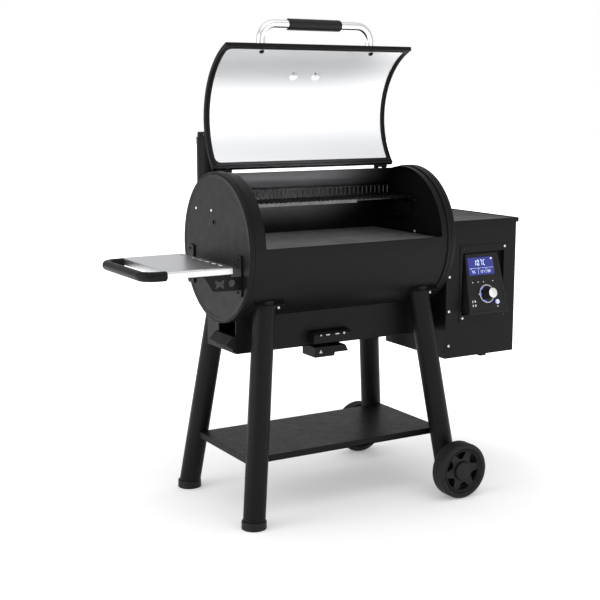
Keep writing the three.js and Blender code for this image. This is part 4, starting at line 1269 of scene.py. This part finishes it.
def side_shelf():
    """One folded sheet: round front and back edges, slots near the barrel, and two end aprons."""
    wall, r, hem = 1.6, 9, 4
    y0, y1, z0, z1 = SIDE_LOW.y, SIDE_HIGH.y, SIDE_LOW.z, SIDE_HIGH.z
    half = [Vector((y0 + hem, z0)), Vector((y0 + 1.2, z0 + 0.3)), Vector((y0, z0 + 2))]
    half += [Vector((y0 + r - r * math.cos(a), z1 - r + r * math.sin(a)))
             for a in (math.radians(10 * i) for i in range(10))]
    slots = [(y, y + 34) for y in range(-150, 180, 50)]
    tops = sorted({y0 + 20, *(edge for slot in slots for edge in slot), y1 - 20})
    path = half + [Vector((y, z1)) for y in tops] + [Vector((y0 + y1 - p.x, p.y)) for p in reversed(half)]
    inner = []
    for i, point in enumerate(path):
        run = path[min(i + 1, len(path) - 1)] - path[max(i - 1, 0)]
        inner.append(point + Vector((run.y, -run.x)).normalized() * wall)

    def keep(x, k):
        middle = (path[int(k)].x + path[int(k) + 1].x) / 2
        return not (SLOT_X[0] < x < SLOT_X[1] and any(a < middle < b for a, b in slots))

    shelf = Body().sheet([SIDE_LOW.x, *SLOT_X, SIDE_HIGH.x], list(range(len(path))),
                         lambda x, k: Vector((x, *path[k])), lambda x, k: Vector((x, *inner[k])), keep)
    outline = [tuple(p) for p in inner[2:-2]]
    for x in (SIDE_LOW.x + 0.2, SIDE_HIGH.x - wall - 0.2):
        shelf.prism(outline, x, x + wall, "x")
    stand_for("side_shelf", shelf, 0.3, smooth=30)


def shelf_handle():
    low, high = span("shelf_handle")
    r = (high.z - low.z) / 2
    z = (high.z + low.z) / 2
    x, y0, y1 = low.x + r, low.y + r, high.y - r
    path = bent([(high.x, y0, z), (x, y0, z), (x, y1, z), (high.x, y1, z)], 42, 18)
    stand_for("shelf_handle", Body().bar(path, r, 44), smooth=50)


def bottle_opener(x, z):
    """Outline of the opener cut-out: two horns above, an arch below."""
    right = [(8, 9), (10, 14), (16, 14), (16, 5), (12.5, 0), (14, -7), (16, -14), (11, -14), (8, -10),
             (4, -8)]
    points = right + [(-a, b) for a, b in reversed(right)]
    return [(x + a, z + b) for a, b in points]


BRACKET_PLATE = ((-187.6, -185.1), (172, 174.5))       # front, back


def shelf_bracket(node):
    low, high = span(node)
    y0, y1 = BRACKET_PLATE[high.y > 0]
    top = span("side_shelf")[1].z - 2.4
    outline = [(-139, top), (-139, 858), (-130, 847), (-110, 813), (-106, 809.5), (-100, 807), (-4.5, 804),
               (-4.5, 850), (-38, 850), (-38, top)]
    plate = Body().prism(outline, y0, y1, "y")
    opener = Body().prism(bottle_opener(-80, 829), y0 - 5, y1 + 5, "y")
    oval = Body().prism([(-36 + a, 830 + 1.1 * b) for a, b in circle(11, 32)], y0 - 5, y1 + 5, "y")
    plate = carved(plate, opener, oval)
    plate.prism(rounded(low.y, high.y, low.z, high.z, 9), -4.5, -0.6, "x")
    stand_for(node, plate, 0.4)


def side():
    side_shelf()
    shelf_handle()
    dark = Body()
    for node in ("shelf_bracket_front", "shelf_bracket_back"):
        shelf_bracket(node)
        y = -169 if span(node)[1].y < 0 else 201.5
        for z in (903, 794):
            dark.screw((-4.6, y, z), (-1, 0, 0), 5.4)
    extra("bracket_screws", "root", "black_coat", dark)


# ---- everything together
make_camera()
make_studio()
make_floor()

barrel()
chimney()
lid()
legs()
wheels()
cooking_parts()
hopper()
side()
for node, cad in frame["nodes"].items():
    if not cad.hide_render:
        refined(node)
